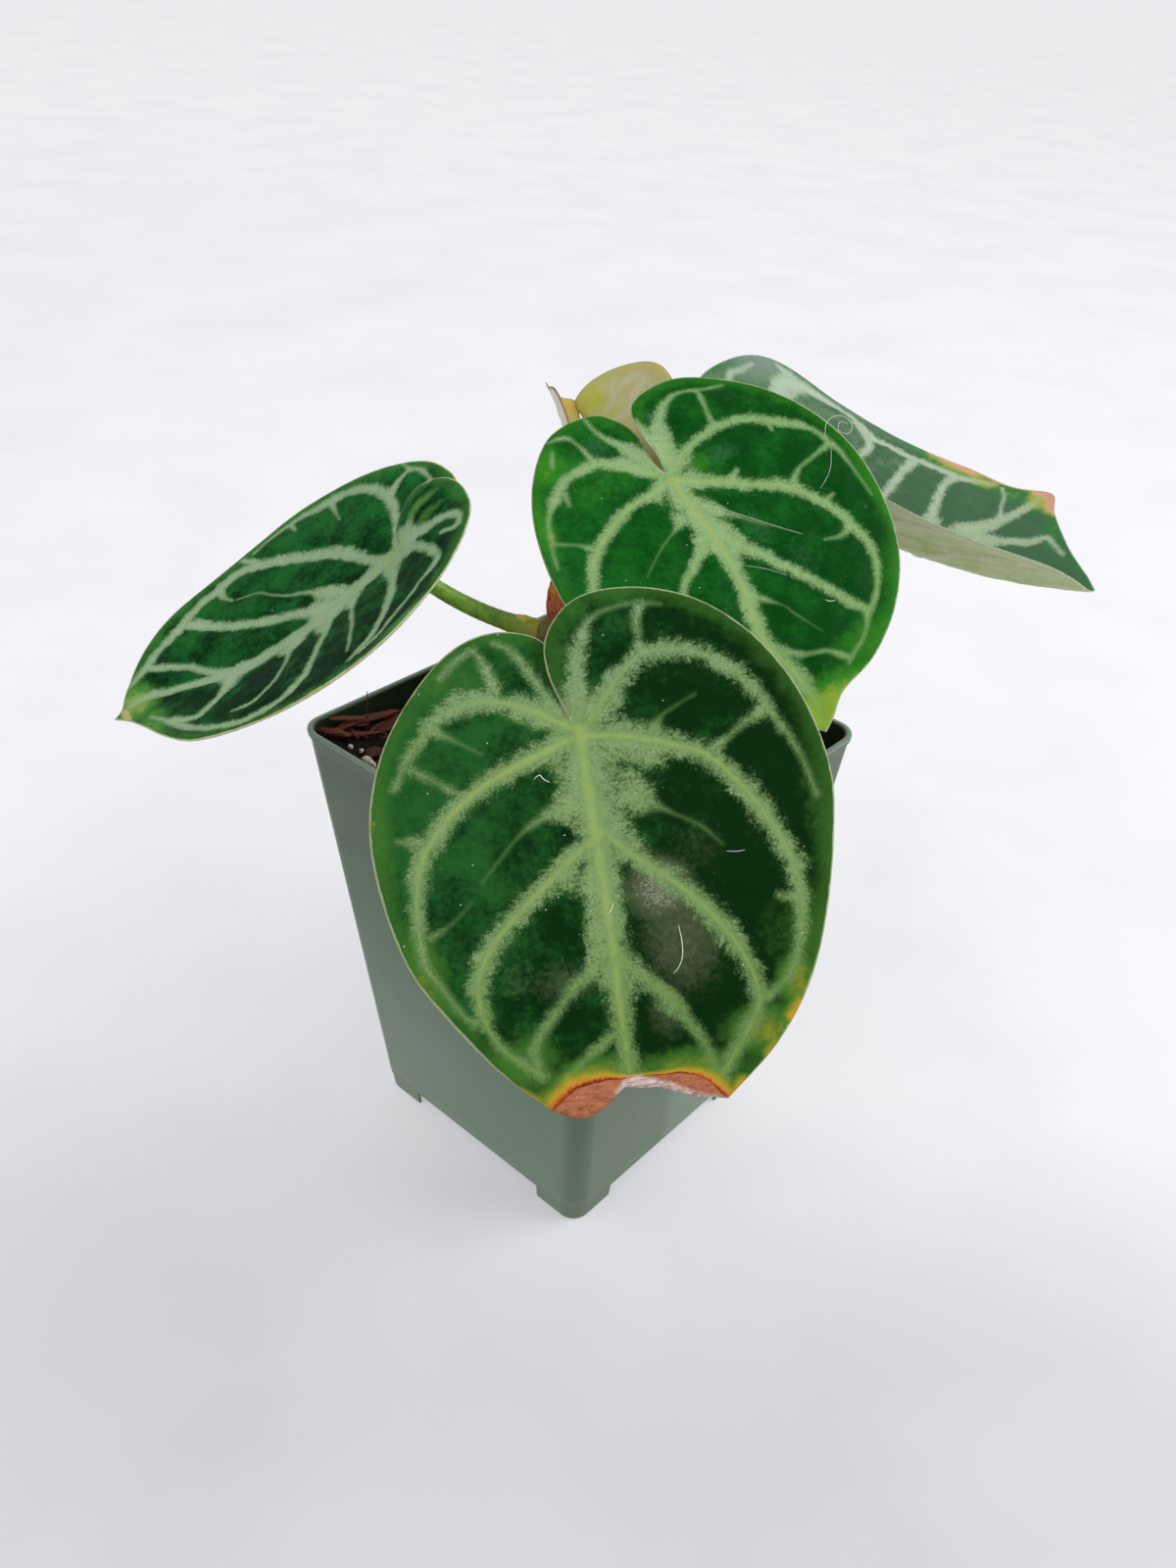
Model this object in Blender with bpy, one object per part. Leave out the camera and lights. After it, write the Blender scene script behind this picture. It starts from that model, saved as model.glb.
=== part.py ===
"""A young velvet-leaved anthurium in a square nursery pot.

Lengths are in millimetres, measured from the middle of the pot's base, and MM turns them to metres.
The pot's sides lie along X and Y. Each leaf is drawn flat first: x runs across the blade, y from the
leaf stalk's joint (0, 0) back into the lobes, and the leaf's tip is at -y. It is then folded along its
midrib, bent along its length and turned into place.
"""

import math

import bpy
import bmesh
import numpy as np
from mathutils import Matrix, Vector
from mathutils.bvhtree import BVHTree
from mathutils.geometry import delaunay_2d_cdt

MM = 0.001
SEAT_GAP = 0.3

POT_TOP = 102.0
POT_BASE = 78.2
POT_HEIGHT = 127.0
POT_WALL = 1.3
POT_TOP_RADIUS = 6.5
POT_BASE_RADIUS = 5.5
POT_LIP = 0.5
POT_LIP_HEIGHT = 1.6
FLOOR_UNDERSIDE = 7.0
FLOOR_THICKNESS = 1.5
FOOT_LENGTH = 14.5
FOOT_HEIGHT = 5.7
DRAIN_DIAMETER = 9.0
DRAIN_OFFSET = 21.0
CORNER_STEPS = 5

SOIL_LEVEL = 117.0
SOIL_HEAP = 7.0
SOIL_HEAP_REACH = 22.0
SOIL_STEP = 8.0
CHIP_COUNT = 56
GRAIN_COUNT = 12
SOIL_SEED = 11

STEM_AT = (-9.5, 4.5)
STEM_RADIUS = 5.6
STEM_DEPTH = 20.0
STEM_TOP = 149.0
WELL_GAP = 0.45
STEM_RINGS = 7
STUB_LENGTH = 3.0

BLADE_THICKNESS = 0.8
OUTLINE_STEP = 4.2
VEIN_STEP = 4.6
GRID_STEP = 6.4
VEIN_CLEARANCE = 3.0
EDGE_CLEARANCE = 2.6
RIB_ABOVE = 0.4
RIB_BELOW = 0.5
MIDRIB_EXTRA = 0.25
QUILT = 0.5
FOLD_SOFTNESS = 4.0
LOBE_SPREAD = 20.0
SINUS_OPENING = 0.8

PETIOLE_SIDES = 8
PETIOLE_STEPS = 14

LEAVES = {
    "a": {
        "joint": (39.5, -46.7, 163.2),
        "heading": -33.5,
        "slope": 39.5,
        "roll": -13.5,
        "length": 82.0,
        "fold": (5, 4),
        "curl": (-8, -10),
        "droop": 20,
        "back": 6,
        "lobe_lift": (1.8, -1.5),
        "lift_reach": 60,
        "wave": (0.5, 6, 0.4),
        "sinus": (-1.3, 3.4),
        "right": [(-2.4, 6), (-4.4, 14), (-3.6, 21), (1.5, 27), (9, 29.2), (20, 28), (30, 23), (39, 13),
                  (45.5, -1), (48, -16), (46.4, -28), (42.2, -43), (36.5, -56), (28, -67), (16.6, -76.3)],
        "left": [(-2.4, 6.5), (-2.2, 12), (-2.2, 18), (-6, 23), (-14.5, 24.8), (-24, 21.5), (-33.5, 12.8),
                 (-40.5, 2), (-44.4, -11), (-44.4, -25), (-41, -41), (-34.5, -53), (-26.4, -64.4), (-18, -73)],
        "tip": [(16.6, -76.3), (9.5, -74.2), (2, -70.6), (-3, -69.9), (-7, -74), (-12.5, -75.7), (-18, -73)],
        "veins": [
            [(0, 0), (0, -25), (-0.5, -50), (-2, -67.5)],
            [(0.5, 2.5), (0.3, 11), (3, 20), (11.5, 24.3), (18, 24)],
            [(1, 1), (9, 9), (21, 14), (31, 10), (38, -2), (44, -20)],
            [(1, -1), (14, -4), (25, -9.5), (33, -22), (38, -37), (35, -51)],
            [(0, -21.5), (13, -32), (22, -45), (26.5, -57), (17, -71)],
            [(-0.5, -46.5), (8, -54.5), (14, -66)],
            [(-1.5, 1), (-9, 7), (-23, 9.5), (-33, 3), (-37, -4)],
            [(-1, -1), (-14.5, -5), (-28, -13), (-37, -28), (-35.5, -46)],
            [(-0.5, -22), (-12, -29), (-25, -40), (-28.5, -50), (-21, -65)],
            [(-1, -45.5), (-11, -53), (-19, -62)],
        ],
    },
    "b": {
        "joint": (-6.7, 35.7, 182.8),
        "heading": -15,
        "slope": 24,
        "roll": -16,
        "length": 77.5,
        "fold": (4.5, 5),
        "curl": (-10, -10),
        "droop": 17,
        "back": 5,
        "lobe_lift": (1.6, -1.3),
        "lift_reach": 60,
        "wave": (0.6, 5, 1.3),
        "sinus": (0.2, 1.3),
        "right": [(0.9, 6), (0.6, 13), (1.3, 21), (5, 25.5), (14.5, 28), (23, 26), (33, 18), (41, 6.5), (46, -7),
                  (47.2, -20), (45, -34), (39.8, -47), (31, -58), (20, -66.2), (9, -70.4), (3.5, -75)],
        "left": [(-0.6, 6), (0.3, 13), (-0.3, 20), (-5, 27), (-13.3, 28), (-22, 24.5), (-31, 14), (-37.5, 1),
                 (-41, -14), (-41, -28), (-37.5, -41), (-30, -54), (-19, -66), (-8, -72.5), (-2.5, -75.5)],
        "tip": [],
        "veins": [
            [(0.5, 0), (1.3, -18), (0.8, -36), (-1.3, -50), (0, -75)],
            [(2, 3), (5.4, 9), (12, 20), (20.5, 21.3)],
            [(2.5, 1.5), (12, 6), (24, 8), (35, 2), (42, -12), (42.6, -28)],
            [(2.5, -2.3), (14, -9), (27, -19), (34.5, -37), (27, -54)],
            [(2, -18.6), (11, -32), (19, -48), (22.5, -56), (14, -64.5)],
            [(-0.5, -54), (8, -59), (13, -64)],
            [(-1, 2.5), (-10, 10), (-23, 11), (-34, -2), (-37.5, -16)],
            [(-1, -2), (-14, -5), (-27, -13), (-34, -30), (-29, -46)],
            [(-0.5, -23), (-14, -31), (-23, -46), (-18, -60)],
            [(-1, -46), (-8, -53), (-12, -62)],
        ],
    },
    "c": {
        "joint": (-43.8, -23.4, 167.9),
        "heading": -117.5,
        "slope": 38.5,
        "roll": -3,
        "length": 80.0,
        "fold": (10, 10.5),
        "curl": (-6, -5),
        "droop": -22.5,
        "back": -5.5,
        "lobe_lift": (7.5, -0.5),
        "lift_reach": 28,
        "wave": (0.5, 5, 2.2),
        "sinus": (0, 1.5),
        "right": [(-1.6, 6), (-2.5, 12), (-1, 18), (4, 22.5), (12, 24), (21, 22.5), (31, 16), (41, 6.5), (47, -5),
                  (48.6, -17), (46.5, -32), (41, -48), (34, -60), (24, -67), (12, -72.5), (4, -76.5)],
        "left": [(-1, 6), (1.5, 12), (2, 18), (-3, 22.3), (-12, 23.3), (-23, 20), (-33.5, 10), (-42, -3),
                 (-46.6, -17), (-45.5, -31), (-40.5, -47), (-34, -60), (-24, -69), (-11, -75.5), (-3, -78)],
        "tip": [],
        "veins": [
            [(0, 0), (2.3, -20), (3, -38), (0, -58), (-3, -70), (0, -78)],
            [(1, 1.5), (6, 8), (9, 17)],
            [(1.3, -1.4), (18, -3), (31, -6), (40, -15), (43, -25)],
            [(2.3, -18), (19.5, -25), (33, -30), (38.3, -40), (30, -56), (18, -66)],
            [(3, -50), (15, -53), (18.5, -60), (11, -69)],
            [(-0.5, 1), (-10, 5), (-23, 6.5), (-35, 0), (-41, -18), (-41.6, -34)],
            [(-0.5, -3), (-16, -12), (-29, -25), (-34.3, -38), (-31, -54), (-18, -69)],
            [(1.5, -15), (-6, -31), (-17, -49), (-25, -57)],
            [(0.5, -50), (-9, -59), (-14, -67)],
        ],
    },
    "d": {
        "joint": (-8.3, 87.9, 169.9),
        "heading": 26.5,
        "slope": 30.5,
        "roll": -1,
        "length": 95.8,
        "fold": (31.5, 52),
        "curl": (-67, -63),
        "fold_at_lobes": (31.5, -5),
        "fold_run": (32, -26),
        "droop": -36.5,
        "back": 7,
        "lobe_lift": (1.0, -1.0),
        "lift_reach": 60,
        "wave": (0.7, 5, 0.0),
        "sinus": (0, 2),
        "right": [(1.6, 8.6), (2.7, 19), (5.4, 28), (12.8, 33.2), (25.7, 30.5), (39.6, 23.5), (48, 14), (53, -1),
                  (56.7, -15), (55.6, -32), (50.8, -53.5), (42.8, -68.5), (42.3, -81.6), (30, -83), (16, -87.7),
                  (5.4, -93.7)],
        "left": [(-1.6, 8.6), (-2.5, 19), (-5, 27), (-11, 31.5), (-20.5, 30), (-29, 22), (-35.5, 9.6), (-39, -8.5),
                 (-40.5, -28), (-39, -47), (-33.5, -64), (-25, -78), (-14.5, -87.5), (-5, -93.5)],
        "tip": [],
        "veins": [
            [(0, 0), (0, -32), (0, -64), (0, -93)],
            [(1.6, 1.6), (15, 12), (29, 18), (38.5, 10), (44, -9), (40.7, -36), (41, -56)],
            [(1, -21), (15, -30), (29, -34), (39, -38.5)],
            [(1, -41), (13, -46.5), (27, -47.6), (38.5, -52)],
            [(1, -51), (13, -58), (23.5, -69), (37.5, -77)],
            [(-1.5, 1.6), (-12, 12), (-24, 15), (-33, 2), (-36, -19), (-34, -45), (-28, -64)],
            [(-1, -20), (-12, -29), (-24, -36), (-32, -49)],
            [(-1, -45), (-11, -53.5), (-20, -66), (-21.5, -75)],
        ],
    },
    "e": {
        "joint": (-49.0, 51.4, 182.5),
        "heading": -31,
        "slope": 22.3,
        "roll": -36.6,
        "length": 42.9,
        "fold": (-1, 44),
        "curl": (29, 233),
        "droop": 15,
        "back": 2.3,
        "lobe_lift": (0.9, -0.9),
        "lift_reach": 34,
        "wave": (0.4, 4, 0.7),
        "sinus": (0, 1.2),
        "right": [(-0.2, 3.5), (-0.8, 7), (0.3, 10), (4.7, 11.8), (11.3, 11.3), (18, 8.7), (23.3, 4.8), (26.4, 0),
                  (27.6, -6.8), (27.4, -13.7), (25.7, -20.6), (22.4, -27.4), (17.1, -33.9), (10.5, -39), (4.8, -41.4)],
        "left": [(-0.8, 3), (-0.5, 6), (-0.2, 9), (-1.6, 12), (-5.5, 13), (-9.8, 14.4), (-12, 10), (-15.5, 5.5), (-17.3, 0),
                 (-18.2, -7), (-18, -14), (-17, -20.5), (-14.7, -27.4), (-11.3, -34), (-7, -39), (-3, -41.5)],
        "tip": [],
        "veins": [
            [(0, 0), (0, -20), (0, -41)],
            [(1, 1), (9, 6), (17.5, 4), (21.5, -6), (20, -18)],
            [(0.5, -8), (8, -13), (15, -22)],
            [(-1, 1), (-7, 7), (-12, 4), (-14, -8)],
            [(-0.5, -8), (-6, -13), (-10, -23)],
        ],
    },
}

# Each stalk: the way its stub leaves the stem in degrees, the height of the stub's root, how far the
# stalk runs on before it turns, how far under the leaf it turns in, and its radius at each end.
PETIOLES = {
    "a": {"leaves_at": -50, "height": 139.0, "rise": 0.45, "runs_on": 26, "turns_in": 16, "radii": (2.5, 1.7)},
    "b": {"leaves_at": 84, "height": 145.0, "rise": 0.55, "runs_on": 12, "turns_in": 14, "radii": (2.2, 1.6)},
    "c": {"leaves_at": 214, "height": 147.6, "rise": 0.15, "runs_on": 16, "turns_in": 11, "radii": (2.4, 1.9)},
    "d": {"leaves_at": 62, "height": 135.0, "rise": 0.35, "runs_on": 34, "turns_in": 20, "radii": (2.5, 1.7)},
    "e": {"leaves_at": 138, "height": 140.0, "rise": 0.5, "runs_on": 20, "turns_in": 14, "radii": (1.8, 1.1)},
}
STUB_SWELL = 1.25
NUB_ALONG = 3.6
NUB_ABOVE = 1.7
NUB_SIZE = (2.9, 1.8, 1.6)

SCALE_FOOT = (-12.6, 6.6, 144.0)
SCALE_TOP = (-18.3, 6.6, 160.3)
SCALE_WIDTH = 8.4
SCALE_THICKNESS = 0.8
SCALE_CUP = 1.8

COLOURS = {
    "pot_plastic": ((0.13, 0.20, 0.15), 0.45),
    "potting_mix": ((0.035, 0.016, 0.011), 0.95),
    "leaf_velvet": ((0.03, 0.12, 0.03), 0.6),
    "new_leaf": ((0.38, 0.36, 0.12), 0.5),
    "stalk_green": ((0.22, 0.34, 0.06), 0.45),
    "stem_brown": ((0.22, 0.11, 0.06), 0.8),
}


def clear_scene():
    for obj in list(bpy.data.objects):
        bpy.data.objects.remove(obj, do_unlink=True)


def material(name):
    found = bpy.data.materials.get(name)
    if found:
        return found
    made = bpy.data.materials.new(name)
    made.use_nodes = True
    shader = made.node_tree.nodes["Principled BSDF"]
    colour, roughness = COLOURS[name]
    shader.inputs["Base Color"].default_value = (*colour, 1.0)
    shader.inputs["Roughness"].default_value = roughness
    shader.inputs["Metallic"].default_value = 0.0
    return made


def mesh_object(name, points, faces, material_name=None):
    """An object from points in millimetres."""
    mesh = bpy.data.meshes.new(name)
    mesh.from_pydata([tuple(float(c) * MM for c in p) for p in points], [], [tuple(f) for f in faces])
    mesh.validate()
    obj = bpy.data.objects.new(name, mesh)
    bpy.context.scene.collection.objects.link(obj)
    if material_name:
        mesh.materials.append(material(material_name))
    return obj


def outward(obj):
    """Turns every face of a closed mesh to point out, and drops points that no face uses."""
    work = bmesh.new()
    work.from_mesh(obj.data)
    bmesh.ops.delete(work, geom=[v for v in work.verts if not v.link_faces], context="VERTS")
    bmesh.ops.recalc_face_normals(work, faces=work.faces)
    if work.calc_volume(signed=True) < 0:
        bmesh.ops.reverse_faces(work, faces=work.faces)
    work.to_mesh(obj.data)
    work.free()


def soften(obj, angle):
    obj.data.shade_smooth()
    obj.data.set_sharp_from_angle(angle=math.radians(angle))


def join_in(obj, others, operation="UNION", solver="EXACT"):
    """Applies one Boolean of obj with all the others, and removes them."""
    group = bpy.data.collections.new("joined")
    bpy.context.scene.collection.children.link(group)
    for other in others:
        bpy.context.scene.collection.objects.unlink(other)
        group.objects.link(other)
    modifier = obj.modifiers.new("join", "BOOLEAN")
    modifier.operand_type = "COLLECTION"
    modifier.collection = group
    modifier.operation = operation
    modifier.solver = solver
    bpy.context.view_layer.update()
    graph = bpy.context.evaluated_depsgraph_get()
    made = bpy.data.meshes.new_from_object(obj.evaluated_get(graph))
    obj.modifiers.clear()
    obj.data = made
    for other in others:
        bpy.data.objects.remove(other, do_unlink=True)
    bpy.data.collections.remove(group)


def through(points, step):
    """A smooth curve through the points, with a point about every step."""
    rail = np.array(points, float)
    rail = np.vstack([2 * rail[0] - rail[1], rail, 2 * rail[-1] - rail[-2]])
    fine = []
    for a, b, c, d in zip(rail, rail[1:], rail[2:], rail[3:]):
        t = np.linspace(0, 1, 13)[:-1, None]
        fine.append(
            b + 0.5 * t * (c - a) + t**2 * (a - 2.5 * b + 2 * c - 0.5 * d) + 0.5 * t**3 * (3 * (b - c) + d - a)
        )
    fine = np.vstack([*fine, rail[-2]])
    run = np.concatenate([[0], np.cumsum(np.linalg.norm(np.diff(fine, axis=0), axis=1))])
    at = np.linspace(0, run[-1], max(3, round(run[-1] / step) + 1))
    return np.stack([np.interp(at, run, fine[:, i]) for i in range(fine.shape[1])], axis=1)


def rounded_square(half, radius, steps=CORNER_STEPS):
    """The corners of a square with round corners, anticlockwise."""
    ring = []
    for corner in range(4):
        middle = math.radians(45 + 90 * corner)
        cx = math.copysign(half - radius, math.cos(middle))
        cy = math.copysign(half - radius, math.sin(middle))
        for i in range(steps + 1):
            a = math.radians(90 * corner + 90 * i / steps)
            ring.append((cx + radius * math.cos(a), cy + radius * math.sin(a)))
    return ring


def pot_half(z):
    return (POT_BASE + (POT_TOP - POT_BASE) * z / POT_HEIGHT) / 2


def pot_radius(z):
    return POT_BASE_RADIUS + (POT_TOP_RADIUS - POT_BASE_RADIUS) * z / POT_HEIGHT


def pot_ring(z, inset):
    return [(x, y, z) for x, y in rounded_square(pot_half(z) - inset, max(pot_radius(z) - inset, 1.0))]


def skin(rings):
    """Faces between rings of the same size, with both ends closed."""
    n = len(rings[0])
    points = [p for ring in rings for p in ring]
    faces = [list(range(n))[::-1], list(range(len(points) - n, len(points)))]
    for r in range(len(rings) - 1):
        for i in range(n):
            j = (i + 1) % n
            faces.append([r * n + i, r * n + j, (r + 1) * n + j, (r + 1) * n + i])
    return points, faces


def block(name, low, high):
    (x0, y0, z0), (x1, y1, z1) = low, high
    ring = [(x0, y0), (x1, y0), (x1, y1), (x0, y1)]
    return mesh_object(name, *skin([[(x, y, z0) for x, y in ring], [(x, y, z1) for x, y in ring]]))


def disc(name, x, y, z0, z1, radius, sides):
    turn = [2 * math.pi * i / sides for i in range(sides)]
    ring = [(x + radius * math.cos(a), y + radius * math.sin(a)) for a in turn]
    return mesh_object(name, *skin([[(u, v, z0) for u, v in ring], [(u, v, z1) for u, v in ring]]))


def make_pot():
    lip_foot = POT_HEIGHT - POT_LIP_HEIGHT
    floor_top = FLOOR_UNDERSIDE + FLOOR_THICKNESS
    rings = [
        pot_ring(FLOOR_UNDERSIDE, POT_WALL),
        pot_ring(0.0, POT_WALL),
        pot_ring(0.0, 0.0),
        pot_ring(lip_foot, 0.0),
        pot_ring(lip_foot, -POT_LIP),
        pot_ring(POT_HEIGHT, -POT_LIP),
        pot_ring(POT_HEIGHT, POT_WALL),
        pot_ring(floor_top, POT_WALL),
    ]
    pot = mesh_object("pot", *skin(rings), "pot_plastic")
    outward(pot)
    reach = pot_half(0) - FOOT_LENGTH
    cutters = [
        block("notch_x", (-2 * POT_BASE, -reach, -1.0), (2 * POT_BASE, reach, FOOT_HEIGHT)),
        block("notch_y", (-reach, -2 * POT_BASE, -1.0), (reach, 2 * POT_BASE, FOOT_HEIGHT)),
    ]
    for x in (-DRAIN_OFFSET, 0, DRAIN_OFFSET):
        for y in (-DRAIN_OFFSET, 0, DRAIN_OFFSET):
            if (x == 0) == (y == 0):
                drain = (FLOOR_UNDERSIDE - 1, floor_top + 1, DRAIN_DIAMETER / 2, 12)
                cutters.append(disc("drain", x, y, *drain))
    for cutter in cutters:
        outward(cutter)
    join_in(pot, cutters[:1], "DIFFERENCE")
    join_in(pot, cutters[1:], "DIFFERENCE")
    soften(pot, 35)
    return pot


def soil_height(x, y):
    """The top of the mix: level, heaped against the left-hand corner, with low lumps."""
    corner = math.hypot(x + POT_TOP / 2, y + POT_TOP / 2)
    lumps = math.sin(x / 7.3 + 1.1) * math.cos(y / 6.1) + 0.6 * math.sin((x + y) / 4.7)
    return SOIL_LEVEL + SOIL_HEAP * math.exp(-((corner / SOIL_HEAP_REACH) ** 2)) + lumps * 0.9


def soil_block():
    """The mix as one solid, with a plain hole for the stem."""
    inset = POT_WALL + SEAT_GAP
    edge = rounded_square(pot_half(SOIL_LEVEL) - inset, pot_radius(SOIL_LEVEL) - inset)
    ring = []
    for (x0, y0), (x1, y1) in zip(edge, edge[1:] + edge[:1]):
        parts = max(1, round(math.hypot(x1 - x0, y1 - y0) / SOIL_STEP))
        ring += [(x0 + (x1 - x0) * i / parts, y0 + (y1 - y0) * i / parts) for i in range(parts)]
    sides = 16
    hole = STEM_RADIUS + WELL_GAP
    turn = [2 * math.pi * i / sides for i in range(sides)]
    well = [(STEM_AT[0] + hole * math.cos(a), STEM_AT[1] + hole * math.sin(a)) for a in turn]
    inner = []
    half = pot_half(SOIL_LEVEL) - inset
    rows = int(2 * half / SOIL_STEP)
    for i in range(rows + 1):
        for j in range(rows + 1):
            x = -half + (i + 0.5 * (j % 2)) * SOIL_STEP
            y = -half + j * SOIL_STEP
            inside = max(abs(x), abs(y)) < half - 0.6 * SOIL_STEP
            if inside and math.hypot(x - STEM_AT[0], y - STEM_AT[1]) > hole + 0.6 * SOIL_STEP:
                inner.append((x, y))
    flat = [Vector(p) for p in ring + well + inner]
    n, m = len(ring), len(well)
    rims = [list(range(n)), list(range(n, n + m))[::-1]]
    made = delaunay_2d_cdt(flat, [], rims, 2, 1e-4)
    places, triangles = made[0], [f for f in made[2] if len(f) == 3]
    triangles = [f for f in triangles if not all(n <= made[3][v][0] < n + m for v in f)]
    top = [(p.x, p.y, soil_height(p.x, p.y)) for p in places]
    floor = FLOOR_UNDERSIDE + FLOOR_THICKNESS + SEAT_GAP
    shrink = (pot_half(floor) - inset) / half
    points = top + [(x * shrink, y * shrink, floor) for x, y in ring]
    points += [(x, y, SOIL_LEVEL - STEM_DEPTH) for x, y in well]
    faces = [tuple(f) for f in triangles]
    low = len(top)
    for i in range(n):
        j = (i + 1) % n
        faces.append((i, low + i, low + j, j))
    faces.append(tuple(range(low, low + n)))
    for i in range(m):
        j = (i + 1) % m
        faces.append((n + i, low + n + i, low + n + j, n + j))
    faces.append(tuple(range(low + n, low + n + m)))
    soil = mesh_object("soil", points, faces, "potting_mix")
    outward(soil)
    return soil


def bark_chip(index, rng):
    """A torn shred of bark: a tapered, twisted bar with rough ends, lying half sunk in the mix."""
    length = rng.uniform(8, 19)
    width = rng.uniform(2.6, 4.6)
    thick = rng.uniform(1.8, 3.0)
    half = pot_half(SOIL_LEVEL) - POT_WALL - SEAT_GAP - 1.2
    turn = rng.uniform(0, math.pi)
    reach_x = abs(length / 2 * math.cos(turn)) + width
    reach_y = abs(length / 2 * math.sin(turn)) + width
    x = rng.uniform(-1, 1) * (half - reach_x)
    y = rng.uniform(-1, 1) * (half - reach_y)
    if math.hypot(x - STEM_AT[0], y - STEM_AT[1]) < STEM_RADIUS + length / 2 + 3.5:
        return None
    points = []
    for end, taper in ((-0.5, 0.55), (0.0, 1.0), (0.5, 0.45)):
        skew = rng.uniform(-0.25, 0.25)
        for side, up in ((-0.5, -0.5), (0.5, -0.5), (0.5, 0.5), (-0.5, 0.5)):
            points.append(Vector((end * length + skew * width, side * width * taper, up * thick * taper)))
    place = Matrix.Translation((x, y, soil_height(x, y) + 0.1 * thick))
    place = place @ Matrix.Rotation(turn, 4, "Z")
    place = place @ Matrix.Rotation(rng.uniform(-0.10, 0.10), 4, "Y")
    place = place @ Matrix.Rotation(rng.uniform(-0.5, 0.5), 4, "X")
    rings = [[tuple(place @ p) for p in points[i : i + 4]] for i in (0, 4, 8)]
    chip = mesh_object(f"chip_{index}", *skin(rings))
    outward(chip)
    return chip


def perlite_grain(index, rng):
    """A rounded white grain, an uneven ball of few sides."""
    size = rng.uniform(1.3, 2.2)
    half = pot_half(SOIL_LEVEL) - POT_WALL - SEAT_GAP - size - 1
    x, y = rng.uniform(-1, 1, 2) * half
    if index < 4:
        x, y = -half + rng.uniform(6, 18), -half + rng.uniform(6, 22)
    if math.hypot(x - STEM_AT[0], y - STEM_AT[1]) < STEM_RADIUS + 5:
        return None
    work = bmesh.new()
    bmesh.ops.create_icosphere(work, subdivisions=1, radius=size)
    for vert in work.verts:
        vert.co *= rng.uniform(0.85, 1.15)
        vert.co += Vector((x, y, soil_height(x, y)))
    points = [tuple(v.co) for v in work.verts]
    faces = [[v.index for v in f.verts] for f in work.faces]
    work.free()
    grain = mesh_object(f"grain_{index}", points, faces)
    outward(grain)
    return grain


def make_soil():
    rng = np.random.default_rng(SOIL_SEED)
    soil = soil_block()
    lumps = [bark_chip(i, rng) for i in range(CHIP_COUNT)]
    lumps += [perlite_grain(i, rng) for i in range(GRAIN_COUNT)]
    join_in(soil, [lump for lump in lumps if lump], "UNION", "MANIFOLD")
    soften(soil, 30)
    return soil


def leaf_axes(leaf):
    """The leaf's own axes in the world: across to its right, back along its midrib, and out of its face."""
    heading, slope, roll = (math.radians(leaf[k]) for k in ("heading", "slope", "roll"))
    ahead = np.array([math.cos(heading) * math.cos(slope), math.sin(heading) * math.cos(slope), -math.sin(slope)])
    level = np.array([math.cos(heading) * math.sin(slope), math.sin(heading) * math.sin(slope), math.cos(slope)])
    face = math.cos(roll) * level + math.sin(roll) * np.cross(level, ahead)
    return np.stack([np.cross(face, ahead), -ahead, face], axis=1)


def bent_run(angle_at, reach):
    """Distance along, and height gained, by a sheet whose slope angle is angle_at(distance)."""
    at = np.linspace(0, reach, 241)
    angle = angle_at(at)
    step = np.diff(at)
    run = np.concatenate([[0], np.cumsum(step * np.cos((angle[1:] + angle[:-1]) / 2))])
    rise = np.concatenate([[0], np.cumsum(step * np.sin((angle[1:] + angle[:-1]) / 2))])
    return at, run, rise


def cross_section(leaf, half, fold, width):
    """Where a point this far from the midrib lies across the leaf, and how high, for a given fold."""
    fold, curl = math.radians(fold), math.radians(leaf["curl"][half]) / leaf["length"]
    at, run, rise = bent_run(lambda w: fold * np.tanh(w / FOLD_SOFTNESS) + curl * w, 1.2 * leaf["length"])
    return np.sign(width) * np.interp(np.abs(width), at, run), np.interp(np.abs(width), at, rise)


def shape_leaf(leaf, flat, right):
    """Points of the flat leaf, folded and bent, in the world. right is true on the right-hand half."""
    x, y = flat[:, 0], flat[:, 1]
    out = np.zeros(len(x))
    up = np.zeros(len(x))
    start, end = leaf.get("fold_run", (1, 0))
    full = np.clip((start - y) / (start - end), 0, 1)
    full = full**2 * (3 - 2 * full)
    for half, side, mask in ((0, 1, right), (1, -1, ~right)):
        near_lobes = cross_section(leaf, half, leaf.get("fold_at_lobes", leaf["fold"])[half], side * x)
        near_tip = cross_section(leaf, half, leaf["fold"][half], side * x)
        out[mask] = side * (near_lobes[0] * (1 - full) + near_tip[0] * full)[mask]
        up[mask] = (near_lobes[1] * (1 - full) + near_tip[1] * full)[mask]
    back = np.maximum(y - leaf["sinus"][1], 0) / leaf["lift_reach"]
    ramp = np.sin(np.pi * np.clip(back, 0, 1)) ** 0.7 * np.exp(-((x / LOBE_SPREAD) ** 2))
    up = up + ramp * np.where(right, *leaf["lobe_lift"])
    bend = np.radians(np.where(y < 0, leaf["droop"], leaf["back"])) / leaf["length"]
    angle = bend * np.abs(y)
    along = np.sign(y) * np.sin(angle) / bend
    down = (1 - np.cos(angle)) / bend
    local = np.stack([out, along + np.sign(y) * np.sin(angle) * up, np.cos(angle) * up - down], axis=1)
    return np.array(leaf["joint"]) + local @ leaf_axes(leaf).T


def leaf_outline(leaf, step):
    """The edge of the flat leaf, from the bottom of the sinus round the right lobe and back."""
    sinus, right, left, tip = leaf["sinus"], leaf["right"], leaf["left"], leaf["tip"]
    end = [(0, -leaf["length"])] if not tip else []
    runs = [through([sinus, *right, *end], step)]
    if tip:
        runs.append(through(tip, step))
    runs.append(through([*end, *left[::-1], sinus], step))
    return np.vstack([run[:-1] for run in runs]), len(runs[0])


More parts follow.
